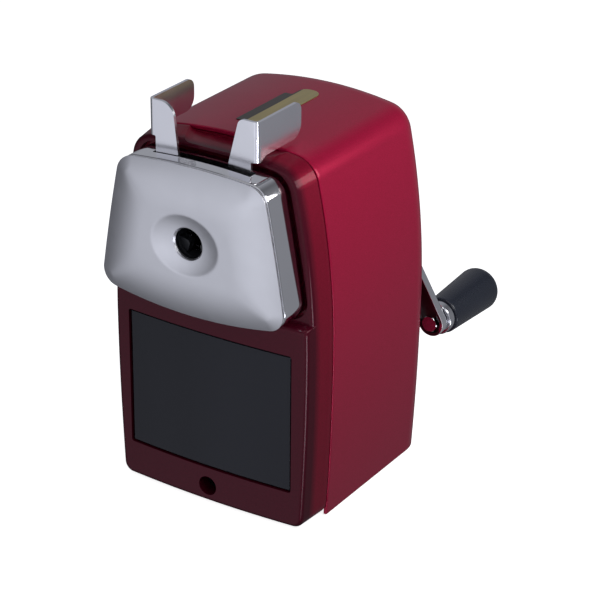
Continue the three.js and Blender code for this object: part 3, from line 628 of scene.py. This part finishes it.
SHELF_Z, SHELF_R = 69.5, 1.6  # top of the bezel's lower half, and the rounding there
POCKET_Y = -28.0  # front face behind the plate
LOW_STAND, LOW_BOW = 2.9, 1.6  # how far the lower half stands out there, and more in the middle
JOINT_Y, WALL_Y = -19.0, -19.4  # where the bezel meets the shell, and where its wall starts


def front_rows():
    """Side heights of the bezel, each with a rule for how far the front face stands out."""
    rows = [(z, "low", 0.0) for z in spread(7.0, 66.8, 26)]
    for k in range(7):
        t = math.pi / 2 * k / 6
        z = SHELF_Z - SHELF_R + SHELF_R * math.sin(t)
        rows.append((z, "round", SHELF_R * (1 - math.cos(t))))
    for k in range(1, 6):
        rows.append((SHELF_Z + 0.3 * k / 5, "shelf", k / 5))
    rows += [(z, "high", 0.0) for z in spread(70.6, 108.0, 18)]
    return rows


def front_y(kind, value, x):
    """Where the bezel's front face is under one of the rules."""
    stands = LOW_STAND + LOW_BOW * (1 - min(1.0, (x / 34.0) ** 2))
    if kind == "high":
        return POCKET_Y
    if kind == "shelf":
        return POCKET_Y - (stands - SHELF_R) * (1 - value)
    return POCKET_Y - stands + (value if kind == "round" else 0.0)


def bezel_block():
    """The bezel's outside: a tapering wall, a rounded edge and a bowed front with a shelf."""
    rows = front_rows()
    heights = [z for z, _, _ in rows]
    edge_r = 1.8
    low_count = BOTTOM_STEPS + FOOT_STEPS + 1
    arcs = SHOULDER_STEPS + 1 + CROWN_STEPS
    rules = [("low", 0.0)] * low_count + [(k, v) for _, k, v in rows] + [("high", 0.0)] * arcs
    rules += list(reversed(rules[:-1]))[:-1]

    def taper(y):
        return 1.3 * (JOINT_Y - y) / 9.0

    insets = {}

    def outline(inset):
        key = round(inset, 5)
        if key not in insets:
            insets[key] = mirrored(body_half(key, heights))
        return insets[key]

    final = outline(3.5)
    fronts = [front_y(kind, value, point[0]) for (kind, value), point in zip(rules, final)]

    def ring(rule):
        out = []
        for j, face in enumerate(fronts):
            inset, y = rule(face + edge_r)
            x, z = body_point(j, inset)
            low = max(0.0, min(1.0, (20.0 - z) / 14.0))
            out.append((x, y, z - taper(max(y, face + edge_r)) * low))
        return out

    def body_point(j, inset):
        """A point of the outline at any inset, between two outlines that are kept."""
        step = 0.1
        low = math.floor(inset / step) * step
        share = (inset - low) / step
        a, b = outline(low)[j], outline(low + step)[j]
        return a[0] + (b[0] - a[0]) * share, a[1] + (b[1] - a[1]) * share

    rings = [at_y(outline(1.5), -14.0), at_y(outline(1.5), JOINT_Y)]
    rings += [at_y(outline(0.4), JOINT_Y), at_y(outline(0.1), -19.12), at_y(outline(0.0), WALL_Y)]
    for k in range(1, 7):
        share = k / 6

        def wall(edge, share=share):
            y = WALL_Y + (edge - WALL_Y) * share
            return taper(y), y

        rings.append(ring(wall))
    for k in range(1, 10):
        turn = math.pi / 2 * k / 9

        def rounding(edge, turn=turn):
            return taper(edge) + edge_r * (1 - math.cos(turn)), edge - edge_r * math.sin(turn)

        rings.append(ring(rounding))
    count = len(rings[0])
    points = [p for r in rings for p in r]
    faces = [tuple(reversed(range(count)))]
    for k in range(len(rings) - 1):
        a, b = k * count, (k + 1) * count
        faces += [(a + i, a + (i + 1) % count, b + (i + 1) % count, b + i) for i in range(count)]
    columns = BOTTOM_STEPS
    base = (len(rings) - 1) * count
    half = count // 2 + 1
    first_row = [base + (count - columns + i) % count for i in range(2 * columns + 1)]
    previous = first_row
    for j in range(columns + 1, half - 1):
        right, left = points[base + j], points[base + (count - j) % count]
        kind, value = rules[j]
        row = [base + (count - j) % count]
        for c in range(-columns + 1, columns):
            share = (c + columns) / (2 * columns)
            x = left[0] + (right[0] - left[0]) * share
            y = front_y(kind, value, x)
            if abs(x) > 20:
                blend = min(1.0, (abs(x) - 20) / max(1e-6, abs(right[0]) - 20)) ** 2
                y += (right[1] - front_y(kind, value, right[0])) * blend
            points.append((x, y, right[2]))
            row.append(len(points) - 1)
        row.append(base + j)
        faces += [(previous[i], previous[i + 1], row[i + 1], row[i]) for i in range(2 * columns)]
        previous = row
    top = base + half - 1
    faces += [(previous[i], previous[i + 1], top) for i in range(2 * columns)]
    return solid(points, faces)


def lever_recess():
    """A hollow in the bezel's top, with a filleted wall on the left and a soft one on the right."""
    rings = []
    for y, left, right in ((-40.0, -7.6, 16.6), (-28.0, -12.0, 20.8), (-18.9, -15.2, 24.0)):
        floor = 118.7
        section = [(left - 0.6, 130.0), (left, 122.0)]
        section += arc((left + 3.4, floor + 3.4), 3.4, math.pi, 1.5 * math.pi, 10)
        section += arc((right - 9.0, floor + 22.0), 22.0, 1.5 * math.pi, 1.5 * math.pi + 0.62, 8)
        section += [(right + 5.5, 124.0), (right + 5.5, 130.0)]
        rings.append(at_y(section, y))
    return loft(rings)


def front_bezel():
    """The bezel's block, hollowed behind, with its pocket, window and holes."""
    inner = mirrored(body_half(3.9, SIDE_HEIGHTS))
    voids = [
        prism(inner, -22.5, -10.0),
        common(prism(inner, -27.5, -22.4), block(-50, 50, -30, -20, -5, 64.5)),
        block(-31.4, 31.4, -27.5, -10, -2, 12),
    ]
    window = softened([(-30.2, 13.0), (30.2, 13.0), (30.2, 59.9), (-30.2, 59.9)], 0.9, 4)
    holes = [
        prism(plate_outline(-0.9), -50, -25.5),
        prism(window, -50, -10),
        lever_recess(),
        rod(CLAMP_R, -50, -20, 0, CLAMP_Z, 48),
        rod(7.8, -30, -20),
        rod(3.9, -30, -20, -ROD_X, ROD_Z, 40),
        rod(3.9, -30, -20, ROD_X, ROD_Z, 40),
    ]
    bezel = cut(bezel_block(), *voids)
    return bevelled(cut(bezel, *holes), 0.35, 3, 40)


place(main_shell(), "shell", "body", "red_paint", RED, "main_shell")
place(front_bezel(), "bezel", "body", "red_paint", MAROON, "front_bezel")


BOW_R = 360.0


def bow(y, x):
    """The drawer front's place at x, where it is y in the middle."""
    return y + BOW_R - math.sqrt(BOW_R**2 - x * x)


def drawer():
    """An open box whose front follows the bezel's bow, with a rounded lip."""
    half, wall = 29.5, 1.6

    def filled(front, width, rear, steps, low, high):
        plan = [(x, bow(front, x)) for x in spread(-width, width, steps)]
        plan += [(width, rear), (-width, rear)]
        return loft([[(x, y, low) for x, y in plan], [(x, y, high) for x, y in plan]])

    box = filled(-31.9, half, 36.0, 41, 13.6, 59.15)
    hollow = filled(-29.5, half - wall, 36.0 - wall, 31, 15.0, 61.0)
    return bevelled(cut(box, hollow), 0.5, 4, 40)


place(drawer(), "drawer_box", "drawer", "smoked_plastic", SMOKED, "drawer")


def label():
    """A thin notched plate with an eased edge that follows the crown."""
    half_width, half_length, middle = 5.0, 16.8, 7.8
    corners = [(-5.0, -9.0), (5.0, -9.0), (5.0, 24.6), (-2.2, 24.6), (-2.2, 18.2), (-5.0, 18.2)]
    outline = softened(corners, [0.6, 0.6, 3.5, 2.6, 0.8, 0.6], 8)
    rings = []
    for shrink, lift in ((0.0, 0.04), (0.0, 0.16), (0.05, 0.2), (0.12, 0.22)):
        ring = []
        for x, y in outline:
            x *= 1 - shrink / half_width
            y = middle + (y - middle) * (1 - shrink / half_length)
            crown = math.sqrt(CROWN_R**2 - x * x) - CROWN_R
            ring.append((x, y, CASE_TOP + crown + lift))
        rings.append(ring)
    return loft(rings)


place(label(), "label", "body", "foil", FOIL, "top_label", smooth=20)

# ---- Front of the carriage ----


PILLOW_RISE = 3.2
PLATE_BACK, PLATE_FRONT = -38.9, -39.9  # back of the rim, and where the pillow starts
PENCIL_R = 4.9
DISH_X, DISH_Z, DISH_DEPTH = 12.0, 9.7, 2.1


def pillow_height(x, z):
    """How far the plate's face stands out at a point, from its distance to the four edges."""
    flank = FLANK_R - math.dist((abs(x), z), FLANK)
    other = FLANK_R - math.dist((-abs(x), z), FLANK)
    top = TOP_R - math.dist((x, z), TOP_C)
    low = LOW_R - math.dist((x, z), LOW_C)
    corner = None
    for centre, radius, way in ((UP_CORNER, UP_CORNER_R, 1), (LOW_CORNER, LOW_CORNER_R, -1)):
        dx, dz = abs(x) - centre[0], (z - centre[1]) * way
        if dx > 0 and dz > 0:
            corner = radius - math.hypot(dx, dz)
    deep = min(flank, top, low)
    soft = 0.25 + 0.135 * max(0.0, deep)  # the ridges between the four slopes fade inwards
    total = sum(math.exp(-d / soft) for d in (flank, other, top, low))
    blend = -soft * math.log(total)
    if corner is not None:
        blend = min(blend, corner)
    depth = max(0.0, min(1.0, blend / 13.5))
    return PILLOW_RISE * (1 - (1 - depth) ** 1.9)


def dish(x, z, height):
    """The oval dish round the hole, with a small rounded rim."""
    reach = math.hypot(x / DISH_X, (z - AXIS_Z) / DISH_Z)
    if reach >= 1.12:
        return height
    bowl = PILLOW_RISE - DISH_DEPTH * (1 - min(1.0, reach) ** 2.1)
    inner = bowl if reach < 1 else PILLOW_RISE + (reach - 1) * 6
    k = 0.16  # width of the rounding where the dish meets the pillow
    h = max(0.0, k - abs(height - inner)) / k
    return min(height, inner) - h * h * k / 4


def between(x, z, angle, radius, share):
    """A point on the way from (x, z) to the circle round the pencil axis."""
    hx, hz = radius * math.cos(angle), AXIS_Z + radius * math.sin(angle)
    return x + (hx - x) * share, z + (hz - z) * share


def face_plate():
    """The pillow plate with its dish and hole in front, and a hollow back 1.6 mm behind."""
    rim = plate_outline(0.0, 2)
    back = plate_outline(1.6, 2)
    count = len(rim)
    angles = [math.atan2(z - AXIS_Z, x) for x, z in rim]
    points, faces, rings = [], [], []

    def add_ring(ring):
        rings.append(list(range(len(points), len(points) + count)))
        points.extend(ring)

    for inset, y in ((1.2, PLATE_BACK), (0.95, -39.0), (0.4, -39.15), (0.1, -39.35), (0.0, -39.6)):
        add_ring([(x, y, z) for x, z in plate_outline(inset, 2)])
    shares = [0.0, 0.006, 0.014, 0.025, 0.04]
    shares += [0.04 + 0.96 * (i / 58) ** 1.05 for i in range(1, 59)]
    for share in shares:
        ring = []
        for (x, z), angle in zip(rim, angles):
            px, pz = between(x, z, angle, PENCIL_R, share)
            height = dish(px, pz, pillow_height(px, pz))
            edge = math.hypot(px, pz - AXIS_Z) - PENCIL_R
            if edge < 0.5:
                height -= 0.5 - math.sqrt(max(0.0, 0.25 - (0.5 - edge) ** 2))
            ring.append((px, PLATE_FRONT - height, pz))
        add_ring(ring)
    add_ring([(PENCIL_R * math.cos(a), -40.4, AXIS_Z + PENCIL_R * math.sin(a)) for a in angles])
    for share in [1 - i / 14 for i in range(15)]:
        ring = []
        for (x, z), angle in zip(back, angles):
            px, pz = between(x, z, angle, 6.4, share)
            height = dish(px, pz, pillow_height(px, pz)) - 1.6
            ring.append((px, min(PLATE_BACK, PLATE_FRONT - max(-0.9, height)), pz))
        add_ring(ring)
    for a, b in zip(rings, rings[1:] + rings[:1]):
        faces += [(a[i], a[(i + 1) % count], b[(i + 1) % count], b[i]) for i in range(count)]
    return solid(points, faces)


POSTS = ((-21.5, 104.0), (21.5, 104.0), (-14.0, 75.0), (14.0, 75.0))


def plate_posts():
    return [tube(2.4, 1.1, -40.7, -30.9, x, z, 32, 0.15) for x, z in POSTS]


plate = merged(face_plate(), *plate_posts())
place(plate, "front_plate", "carriage", "satin_metal", SATIN, "face_plate", weighted=False)


def carriage_frame():
    """A box frame with rounded edges, open at the front and the back, with a web between."""
    front = ((0.7, -38.4), (0.4, -38.34), (0.2, -38.16), (0.1, -37.8))
    rear = ((0.1, -27.2), (0.25, -26.8), (0.5, -26.6))
    rings = [at_y(plate_outline(inset, 2), y) for inset, y in front + rear]
    inner = prism(plate_outline(1.7), -42, -30.6)
    behind = prism(plate_outline(1.7), -26.9, -20)
    holes = [block(-17.4, 17.4, -34.4, -31.0, 106, 120), rod(5.4, -35, -20)]
    holes += [rod(2.3, -40, -20, side * ROD_X, ROD_Z, 32) for side in (-1, 1)]
    holes += [rod(1.2, -35, -20, x, z, 24) for x, z in POSTS]
    holes += [rod(2.5, -28.9, -20, x, z, 32) for x, z in POSTS]
    return bevelled(cut(loft(rings), inner, behind, *holes), 0.18, 2, 40)


place(carriage_frame(), "carriage_box", "carriage", "chrome", CHROME, "carriage_frame")

CLAW_ANGLES = (90, 210, 330)
PIN_RADIUS, PIN_TRAVEL, LEVER_TURN = 12, 2.2, 12  # claw pins, and the lever's turn in degrees


def spiral_slot(degrees, hand, y0, y1):
    """The slot that carries a claw's pin outwards as the lever turns."""

    def spot(share, aside=0.0):
        angle = math.radians(degrees + hand * LEVER_TURN * share)
        radius = PIN_RADIUS + PIN_TRAVEL * share + aside
        return radius * math.cos(angle), AXIS_Z + radius * math.sin(angle)

    width, outer, inner = 1.25, [], []
    for i in range(13):
        share = i / 12
        arm = (PIN_RADIUS + PIN_TRAVEL * share) * math.radians(LEVER_TURN)
        stretch = width * math.hypot(1, PIN_TRAVEL / arm)
        outer.append(spot(share, stretch))
        inner.append(spot(share, -stretch))
    ends = [rod(width, y0, y1, *spot(share), 32) for share in (0, 1)]
    return [prism(outer + inner[::-1], y0, y1), *ends]


def lever(side, y0, wing_rear, wing_bottom, top, inner_top, corner_r):
    """A sheet lever cut flat, with its edges rounded, then bent back along the outer side."""
    thick, bend_r, outer = 1.0, 1.7, 18.9
    bend_x = outer - bend_r
    bend_end = bend_x + bend_r * math.pi / 2
    rear = bend_end + (wing_rear - y0 - bend_r)
    step = wing_bottom - 1.5
    outline = [(8.4, 101.0), (16.4, 97.0), (16.4, step), (bend_end - 0.3, step)]
    outline += [(bend_end + 2.6, wing_bottom), (rear, wing_bottom), (rear, top)]
    outline += [(inner_top, top), (8.4, 117.3)]
    rounded = softened(outline, [0, 0, 0.5, 1.2, 3.2, 4.2, 3.0, corner_r, 3.0], 8)
    flat = join(prism(rounded, 0.0, thick), prism(circle(0, AXIS_Z, 16.5, 96), 0.0, thick))
    slots = []
    for degrees in CLAW_ANGLES:
        angle = degrees if side > 0 else 180 - degrees
        slots += spiral_slot(angle, -1, -1, 2)
    flat = cut(flat, rod(6.0, -1, 2, 0, AXIS_Z, 64), *slots)
    flat = bevelled(flat, 0.16, 2, 40)
    work = bmesh.new()
    work.from_mesh(flat.data)
    bmesh.ops.triangulate(work, faces=work.faces)
    for at in spread(bend_x, bend_end, 11):
        parts = work.verts[:] + work.edges[:] + work.faces[:]
        here, across = (at, 0, 0), (1, 0, 0)
        bmesh.ops.bisect_plane(work, geom=parts, plane_co=here, plane_no=across, dist=1e-5)
    for vert in work.verts:
        u, w, z = vert.co
        if u > bend_end:
            vert.co = (outer - w, y0 + bend_r + (u - bend_end), z)
        elif u > bend_x:
            turn = (u - bend_x) / bend_r
            reach = bend_r - w
            vert.co = (bend_x + reach * math.sin(turn), y0 + bend_r - reach * math.cos(turn), z)
        else:
            vert.co = (u, y0 + w, z)
    if side < 0:
        for vert in work.verts:
            vert.co.x = -vert.co.x
        bmesh.ops.reverse_faces(work, faces=work.faces)
    bmesh.ops.dissolve_limit(work, angle_limit=0.01, verts=work.verts, edges=work.edges)
    work.to_mesh(flat.data)
    work.free()
    return flat


tab = lever(-1, -34.0, -12.0, 122.8, 132.6, 10.2, 4.8)
place(tab, "pinch_lever_left", "lever_left", "chrome", LEVER_PLATE, "lever_left", smooth=28)
tab = lever(1, -32.4, -9.5, 121.1, 132.2, 12.2, 2.2)
place(tab, "pinch_lever_right", "lever_right", "chrome", LEVER_PLATE, "lever_right", smooth=28)


def claw(degrees):
    """A pointed jaw with the pin that its slots push."""
    outline = [(2.4, -0.6), (4.6, -2.7), (13.4, -2.7), (13.4, 2.7), (4.6, 2.7), (2.4, 0.6)]
    body = bevelled(prism(outline, -37.8, -34.7), 0.25, 2, 25)
    pin = rod(0.9, -34.9, -31.0, PIN_RADIUS, 0.0, 24, 0.15)
    return swung(merged(body, pin), degrees)


for i, degrees in enumerate(CLAW_ANGLES, 1):
    place(claw(degrees), f"grip_claw_{i}", f"claw_{i}", "black_plastic", BLACK, f"claw_{i}")


def chuck_housing():
    """A disc with three ears, and a channel for each claw."""
    body = rod(17, -38.9, -34.4, count=96, soften=0.5)
    ears = []
    for degrees in (0, 180, 270):
        angle = math.radians(degrees)
        x, z = 18.4 * math.cos(angle), AXIS_Z + 18.4 * math.sin(angle)
        ears += [rod(2.2, -38.9, -34.4, x, z, 32), rod(1.6, -35, -30.9, x, z, 32)]
    channels = [swung(block(0, 20, -38.1, -33.1, -2.9, 2.9), turn) for turn in CLAW_ANGLES]
    return bevelled(cut(join(body, *ears), rod(5.2, -45, -30), *channels), 0.2, 2, 40)


place(chuck_housing(), "chuck", "carriage", "black_plastic", BLACK, "chuck_housing")

BUSH = [(2.3, -25.2), (3.6, -25.2), (3.6, -22.2), (4.8, -22.2)]
BUSH += [(4.8, -21.0), (3.6, -21.0), (3.6, -16.3), (2.3, -16.3)]
for side, word in ((-1, "left"), (1, "right")):
    x = side * ROD_X
    guide = rod(2, -30.3, 35, x, ROD_Z, 48, 0.3)
    place(guide, f"slide_rod_{word}", "carriage", "steel", STEEL, f"guide_rod_{word}")
    bush = turned(BUSH, x, ROD_Z, 56, 0.18, hollow=True)
    place(bush, f"slide_bush_{word}", "body", "brass", BRASS, f"guide_bush_{word}")
    clip = tube(4.2, 2.15, 33.2, 34.2, x, ROD_Z, 48, 0.15)
    place(clip, f"end_clip_{word}", "carriage", "steel", STEEL, f"rod_clip_{word}")
    spring = coil(2.95, 0.42, -16.0, 32.9, 15, 1.5)
    moved(spring, Matrix.Translation((x, 0, ROD_Z)))
    name, node = f"pull_spring_{word}", f"return_spring_{word}"
    place(spring, name, "body", "steel", WIRE, node, smooth=60, weighted=False)
    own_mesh(spring)

across = Matrix.Translation((0, -32.7, 112.5)) @ Matrix.Rotation(math.pi / 2, 4, "Z")
spread_spring = moved(coil(1.25, 0.32, -7.9, 7.9, 9, 1.0), across)
name, node = "spread_spring", "lever_spring"
place(spread_spring, name, "carriage", "steel", DARK_STEEL, node, smooth=60, weighted=False)
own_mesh(spread_spring)

# ---- Crank and handle ----


HUB_R, END_R = 6.8, 4.6


def crank_arm():
    """A pressed channel open towards the body, with rounded pressed edges."""

    def skin(*rings):
        outlines = [(link_outline(HUB_R - shrink, END_R - shrink), y) for shrink, y in rings]
        return loft([at_y(outline, y) for outline, y in outlines])

    inner_edge = (0.25, 46.5), (0.06, 46.58), (0.0, 46.8)
    outer_edge = (0.0, 49.0), (0.1, 49.45), (0.35, 49.8), (0.7, 50.0)
    tray = skin((1.1, 44.0), (1.1, 48.1), (1.3, 48.5), (1.7, 48.7))
    holes = [rod(3.3, 40, 55, count=48), rod(2.3, 40, 55, HANDLE_X, HANDLE_Z, 40)]
    return bevelled(cut(skin(*inner_edge, *outer_edge), tray, *holes), 0.15, 2, 40)


def shade_arm_channel(arm):
    """The faces in the arm's channel get a second, dark material: painted shade inside the channel.
    """
    arm.data.materials.append(CHANNEL_PAINTED_SHADE)
    hub = Vector((0.0, AXIS_Z))
    way = Vector((HANDLE_X, HANDLE_Z)) - hub
    for face in arm.data.polygons:
        x, y, z = face.center / MM
        spot = Vector((x, z)) - hub
        share = max(0.0, min(1.0, spot.dot(way) / way.length_squared))
        off = (spot - way * share).length
        if off < HUB_R - 0.95 - (HUB_R - END_R) * share and y < 49.0:
            face.material_index = 1


arm = place(crank_arm(), "arm", "crank", "chrome", CHROME, "crank_arm")
shade_arm_channel(arm)


def hexagon(radius, y0, y1, x, z, bore):
    """A hexagon nut or head whose corners are chamfered by a cone."""
    low, high = radius * 0.9, radius * 1.01
    cone = [(TINY, y0), (low, y0), (high, y0 + 0.4), (high, y1 - 0.4), (low, y1), (TINY, y1)]
    body = common(prism(circle(x, z, radius, 6), y0, y1), turned(cone, x, z, 64))
    if bore:
        body = cut(body, rod(bore, y0 - 1, y1 + 1, x, z, 48))
    return bevelled(body, 0.12, 2, 30)


place(hexagon(5.0, 50.3, 53.0, 0, AXIS_Z, 3.3), "arm_nut", "crank", "chrome", CHROME, "crank_nut")
shaft = [(TINY, 30.5), (3, 30.5), (3, 45), (4.6, 45)]
shaft += [(4.6, 48.4), (3, 48.4), (3, 53.4), (TINY, 53.4)]
place(turned(shaft, count=64, soften=0.3), "shaft", "crank", "steel", STEEL, "crank_shaft")
pin = rod(2, 47, 78.1, HANDLE_X, HANDLE_Z, 40, 0.3)
pin = merged(pin, hexagon(2.9, 45.6, 48.4, HANDLE_X, HANDLE_Z, 0))
place(pin, "grip_pin", "crank", "chrome", CHROME, "handle_spindle")
ferrule = [(2.4, 50.3), (5.2, 50.3), (5.5, 50.6), (5.5, 52.9), (5.2, 53.3), (2.4, 53.3)]
ferrule = turned(ferrule, HANDLE_X, HANDLE_Z, 64, 0.25, hollow=True)
place(ferrule, "ferrule", "handle", "chrome", FERRULE, "handle_ferrule")


def grip():
    """A tapering moulded grip with a crisp shoulder in front and a low dome at its end."""
    profile = [(TINY, 78.6), (2.4, 78.6), (2.4, 53.6), (5.75, 53.6)]
    for turn in spread(0.3, math.pi / 2, 5):
        profile.append((5.8 + 0.4 * math.sin(turn), 54.0 - 0.4 * math.cos(turn)))
    profile += [(6.2 + 1.2 * k / 16, 54.0 + 23.9 * k / 16) for k in range(1, 17)]
    for k in range(1, 13):
        turn = math.pi / 2 * k / 12
        profile.append((3.6 + 3.8 * math.cos(turn), 77.9 + 3.8 * math.sin(turn)))
    profile += [(2.6, 81.98), (1.4, 82.25), (TINY, 82.35)]
    return turned(profile, HANDLE_X, HANDLE_Z, 80)


place(grip(), "grip", "handle", "black_plastic", GRIP, "handle_grip")
escutcheon = [(5.8, 42.3), (10.5, 42.3), (10.5, 42.9), (9.7, 43.7), (7.2, 43.9), (5.8, 43.9)]
ring = turned(escutcheon, count=80, soften=0.25, hollow=True)
place(ring, "rear_ring", "body", "chrome", CHROME, "rear_escutcheon")
bush = tube(5.5, 3.35, 35.3, 44.6, soften=0.3)
place(bush, "shaft_bush", "body", "black_plastic", BLACK, "rear_bush")
sleeve = tube(4.0, CLAMP_R, -26.9, -7.8, 0, CLAMP_Z, 48, 0.15)
place(sleeve, "clamp_sleeve", "body", "steel", DARK_STEEL, "clamp_socket")
guide = tube(7.5, 5.2, -25.2, -13.0, soften=0.4)
place(guide, "guide_tube", "body", "black_plastic", BLACK, "pencil_guide")

FEET = ((-25, -12), (25, -12), (-25, 28), (25, 28))
FOOT_PROFILE = [(TINY, 0.0), (4.5, 0.0), (5, 0.5), (5, 2.2), (TINY, 2.2)]
for i, (x, y) in enumerate(FEET, 1):
    made = stand_up(turned(FOOT_PROFILE, 0, 0, 48, 0.2), x, y)
    place(made, f"foot_{i}", "body", "rubber", RUBBER, f"rubber_foot_{i}")

# ---- Materials of the CAD nodes that stay ----

KEPT = {
    "base_plate": BLACK,
    "mechanism_housing": BLACK,
    "ring_gear": STEEL,
    "cutter_carrier": BLASTED,
    "cutter_pin": STEEL,
    "cutter": STEEL,
    "cutter_pinion": STEEL,
    **{f"base_screw_{i}": STEEL_UP for i in (1, 2, 3, 4)},
    **{f"housing_screw_{i}": STEEL for i in (1, 2, 3)},
    **{f"face_screw_{i}": STEEL for i in (1, 2, 3, 4)},
}
for name, material in KEPT.items():
    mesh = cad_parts[name].data
    mesh.materials.clear()
    mesh.materials.append(material)
    mesh.shade_smooth()
    mesh.set_sharp_from_angle(angle=math.radians(30))

# ---- Floor, light and camera ----


def plain_material(name, colour, roughness, glow):
    """An even pale surface that also glows a little."""
    f = Finish(name, Roughness=roughness, Emission_Color=(1, 1, 1, 1), Emission_Strength=glow)
    cloud = f.noise(3.0, 2.0)
    f.into(f.ramp(cloud, [(0.3, grey(colour * 0.99)), (0.7, grey(colour))]), "Base Color")
    return f.material


floor = block(-4000, 4000, -4000, 4000, -12, 0)
floor.name = "floor"
floor.data.transform(Matrix.Scale(MM, 4))
floor.data.materials.append(plain_material("pale_floor", 0.92, 0.9, 0.86))
floor.visible_glossy = False  # gloss shows the room, not the white floor
floor.visible_diffuse = False


def area_light(name, spot, target, width, height, power):
    data = bpy.data.lights.new(name, "AREA")
    data.shape = "RECTANGLE"
    data.size, data.size_y = width, height
    data.energy = power
    lamp = added(name, data)
    lamp.location = spot
    lamp.rotation_euler = (Vector(target) - Vector(spot)).to_track_quat("-Z", "Y").to_euler()
    lamp.visible_camera = False


area_light("top", (-0.1, 0.0, 1.2), (0, 0, 0.0), 0.9, 0.9, 0.6)
area_light("right", (0.17, 0.0, 0.18), (0.037, 0.0, 0.16), 0.3, 0.08, 0.38)


# Each wall: its direction, the cosine where it fades in, and its strength
WALLS = (
    ((-0.25, -0.9, -0.3), 0.55, 0.58),
    ((0.2, -0.8, 0.4), 0.35, 0.34),
    ((0.7, 0.6, -0.3), 0.3, 0.13),
    ((-0.487, 0.759, 0.432), 0.7, 0.23),
    ((0.76, -0.49, -0.43), 0.975, 8.0),
)
ROOM_LIGHT = 0.11
ROOM_TINT = (0.95, 0.975, 1.07, 1)


def studio_world():
    """A grey room: even base light, with soft brighter walls in a few directions."""
    world = bpy.data.worlds.new("studio")
    world.use_nodes = True
    bpy.context.scene.world = world
    tree = world.node_tree
    way = tree.nodes.new("ShaderNodeTexCoord").outputs["Generated"]
    total = None
    for direction, start, power in WALLS:
        dot = tree.nodes.new("ShaderNodeVectorMath")
        dot.operation = "DOT_PRODUCT"
        tree.links.new(way, dot.inputs[0])
        dot.inputs[1].default_value = Vector(direction).normalized()
        wall = tree.nodes.new("ShaderNodeMapRange")
        wall.interpolation_type = "SMOOTHSTEP"
        wall.inputs["From Min"].default_value = start
        wall.inputs["To Max"].default_value = power
        tree.links.new(dot.outputs["Value"], wall.inputs["Value"])
        if total is None:
            total = wall.outputs["Result"]
            continue
        more = tree.nodes.new("ShaderNodeMath")
        tree.links.new(total, more.inputs[0])
        tree.links.new(wall.outputs["Result"], more.inputs[1])
        total = more.outputs["Value"]
    lift = tree.nodes.new("ShaderNodeMath")
    lift.inputs[1].default_value = ROOM_LIGHT
    tree.links.new(total, lift.inputs[0])
    shade = tree.nodes["Background"]
    shade.inputs["Color"].default_value = ROOM_TINT
    tree.links.new(lift.outputs["Value"], shade.inputs["Strength"])


studio_world()

AZIMUTH, ELEVATION, ROLL = (math.radians(v) for v in (32.6605, 25.5906, 0.5439))
side_way = Vector((math.cos(AZIMUTH), math.sin(AZIMUTH), 0))
level = math.cos(ELEVATION)
back_way = Vector((math.sin(AZIMUTH) * level, -math.cos(AZIMUTH) * level, math.sin(ELEVATION)))
up_way = back_way.cross(side_way)
x_way = math.cos(ROLL) * side_way + math.sin(ROLL) * up_way
y_way = -math.sin(ROLL) * side_way + math.cos(ROLL) * up_way
camera_data = bpy.data.cameras.new("camera")
camera_data.lens = 137.31
camera_data.sensor_width = 36.0
camera_data.clip_start, camera_data.clip_end = 0.01, 30.0
camera = added("camera", camera_data)
turn = Matrix((x_way, y_way, back_way)).transposed().to_4x4()
camera.matrix_world = Matrix.Translation((0.35986, -0.54116, 0.36960)) @ turn
bpy.context.scene.camera = camera

bpy.context.scene.view_settings.view_transform = "Standard"
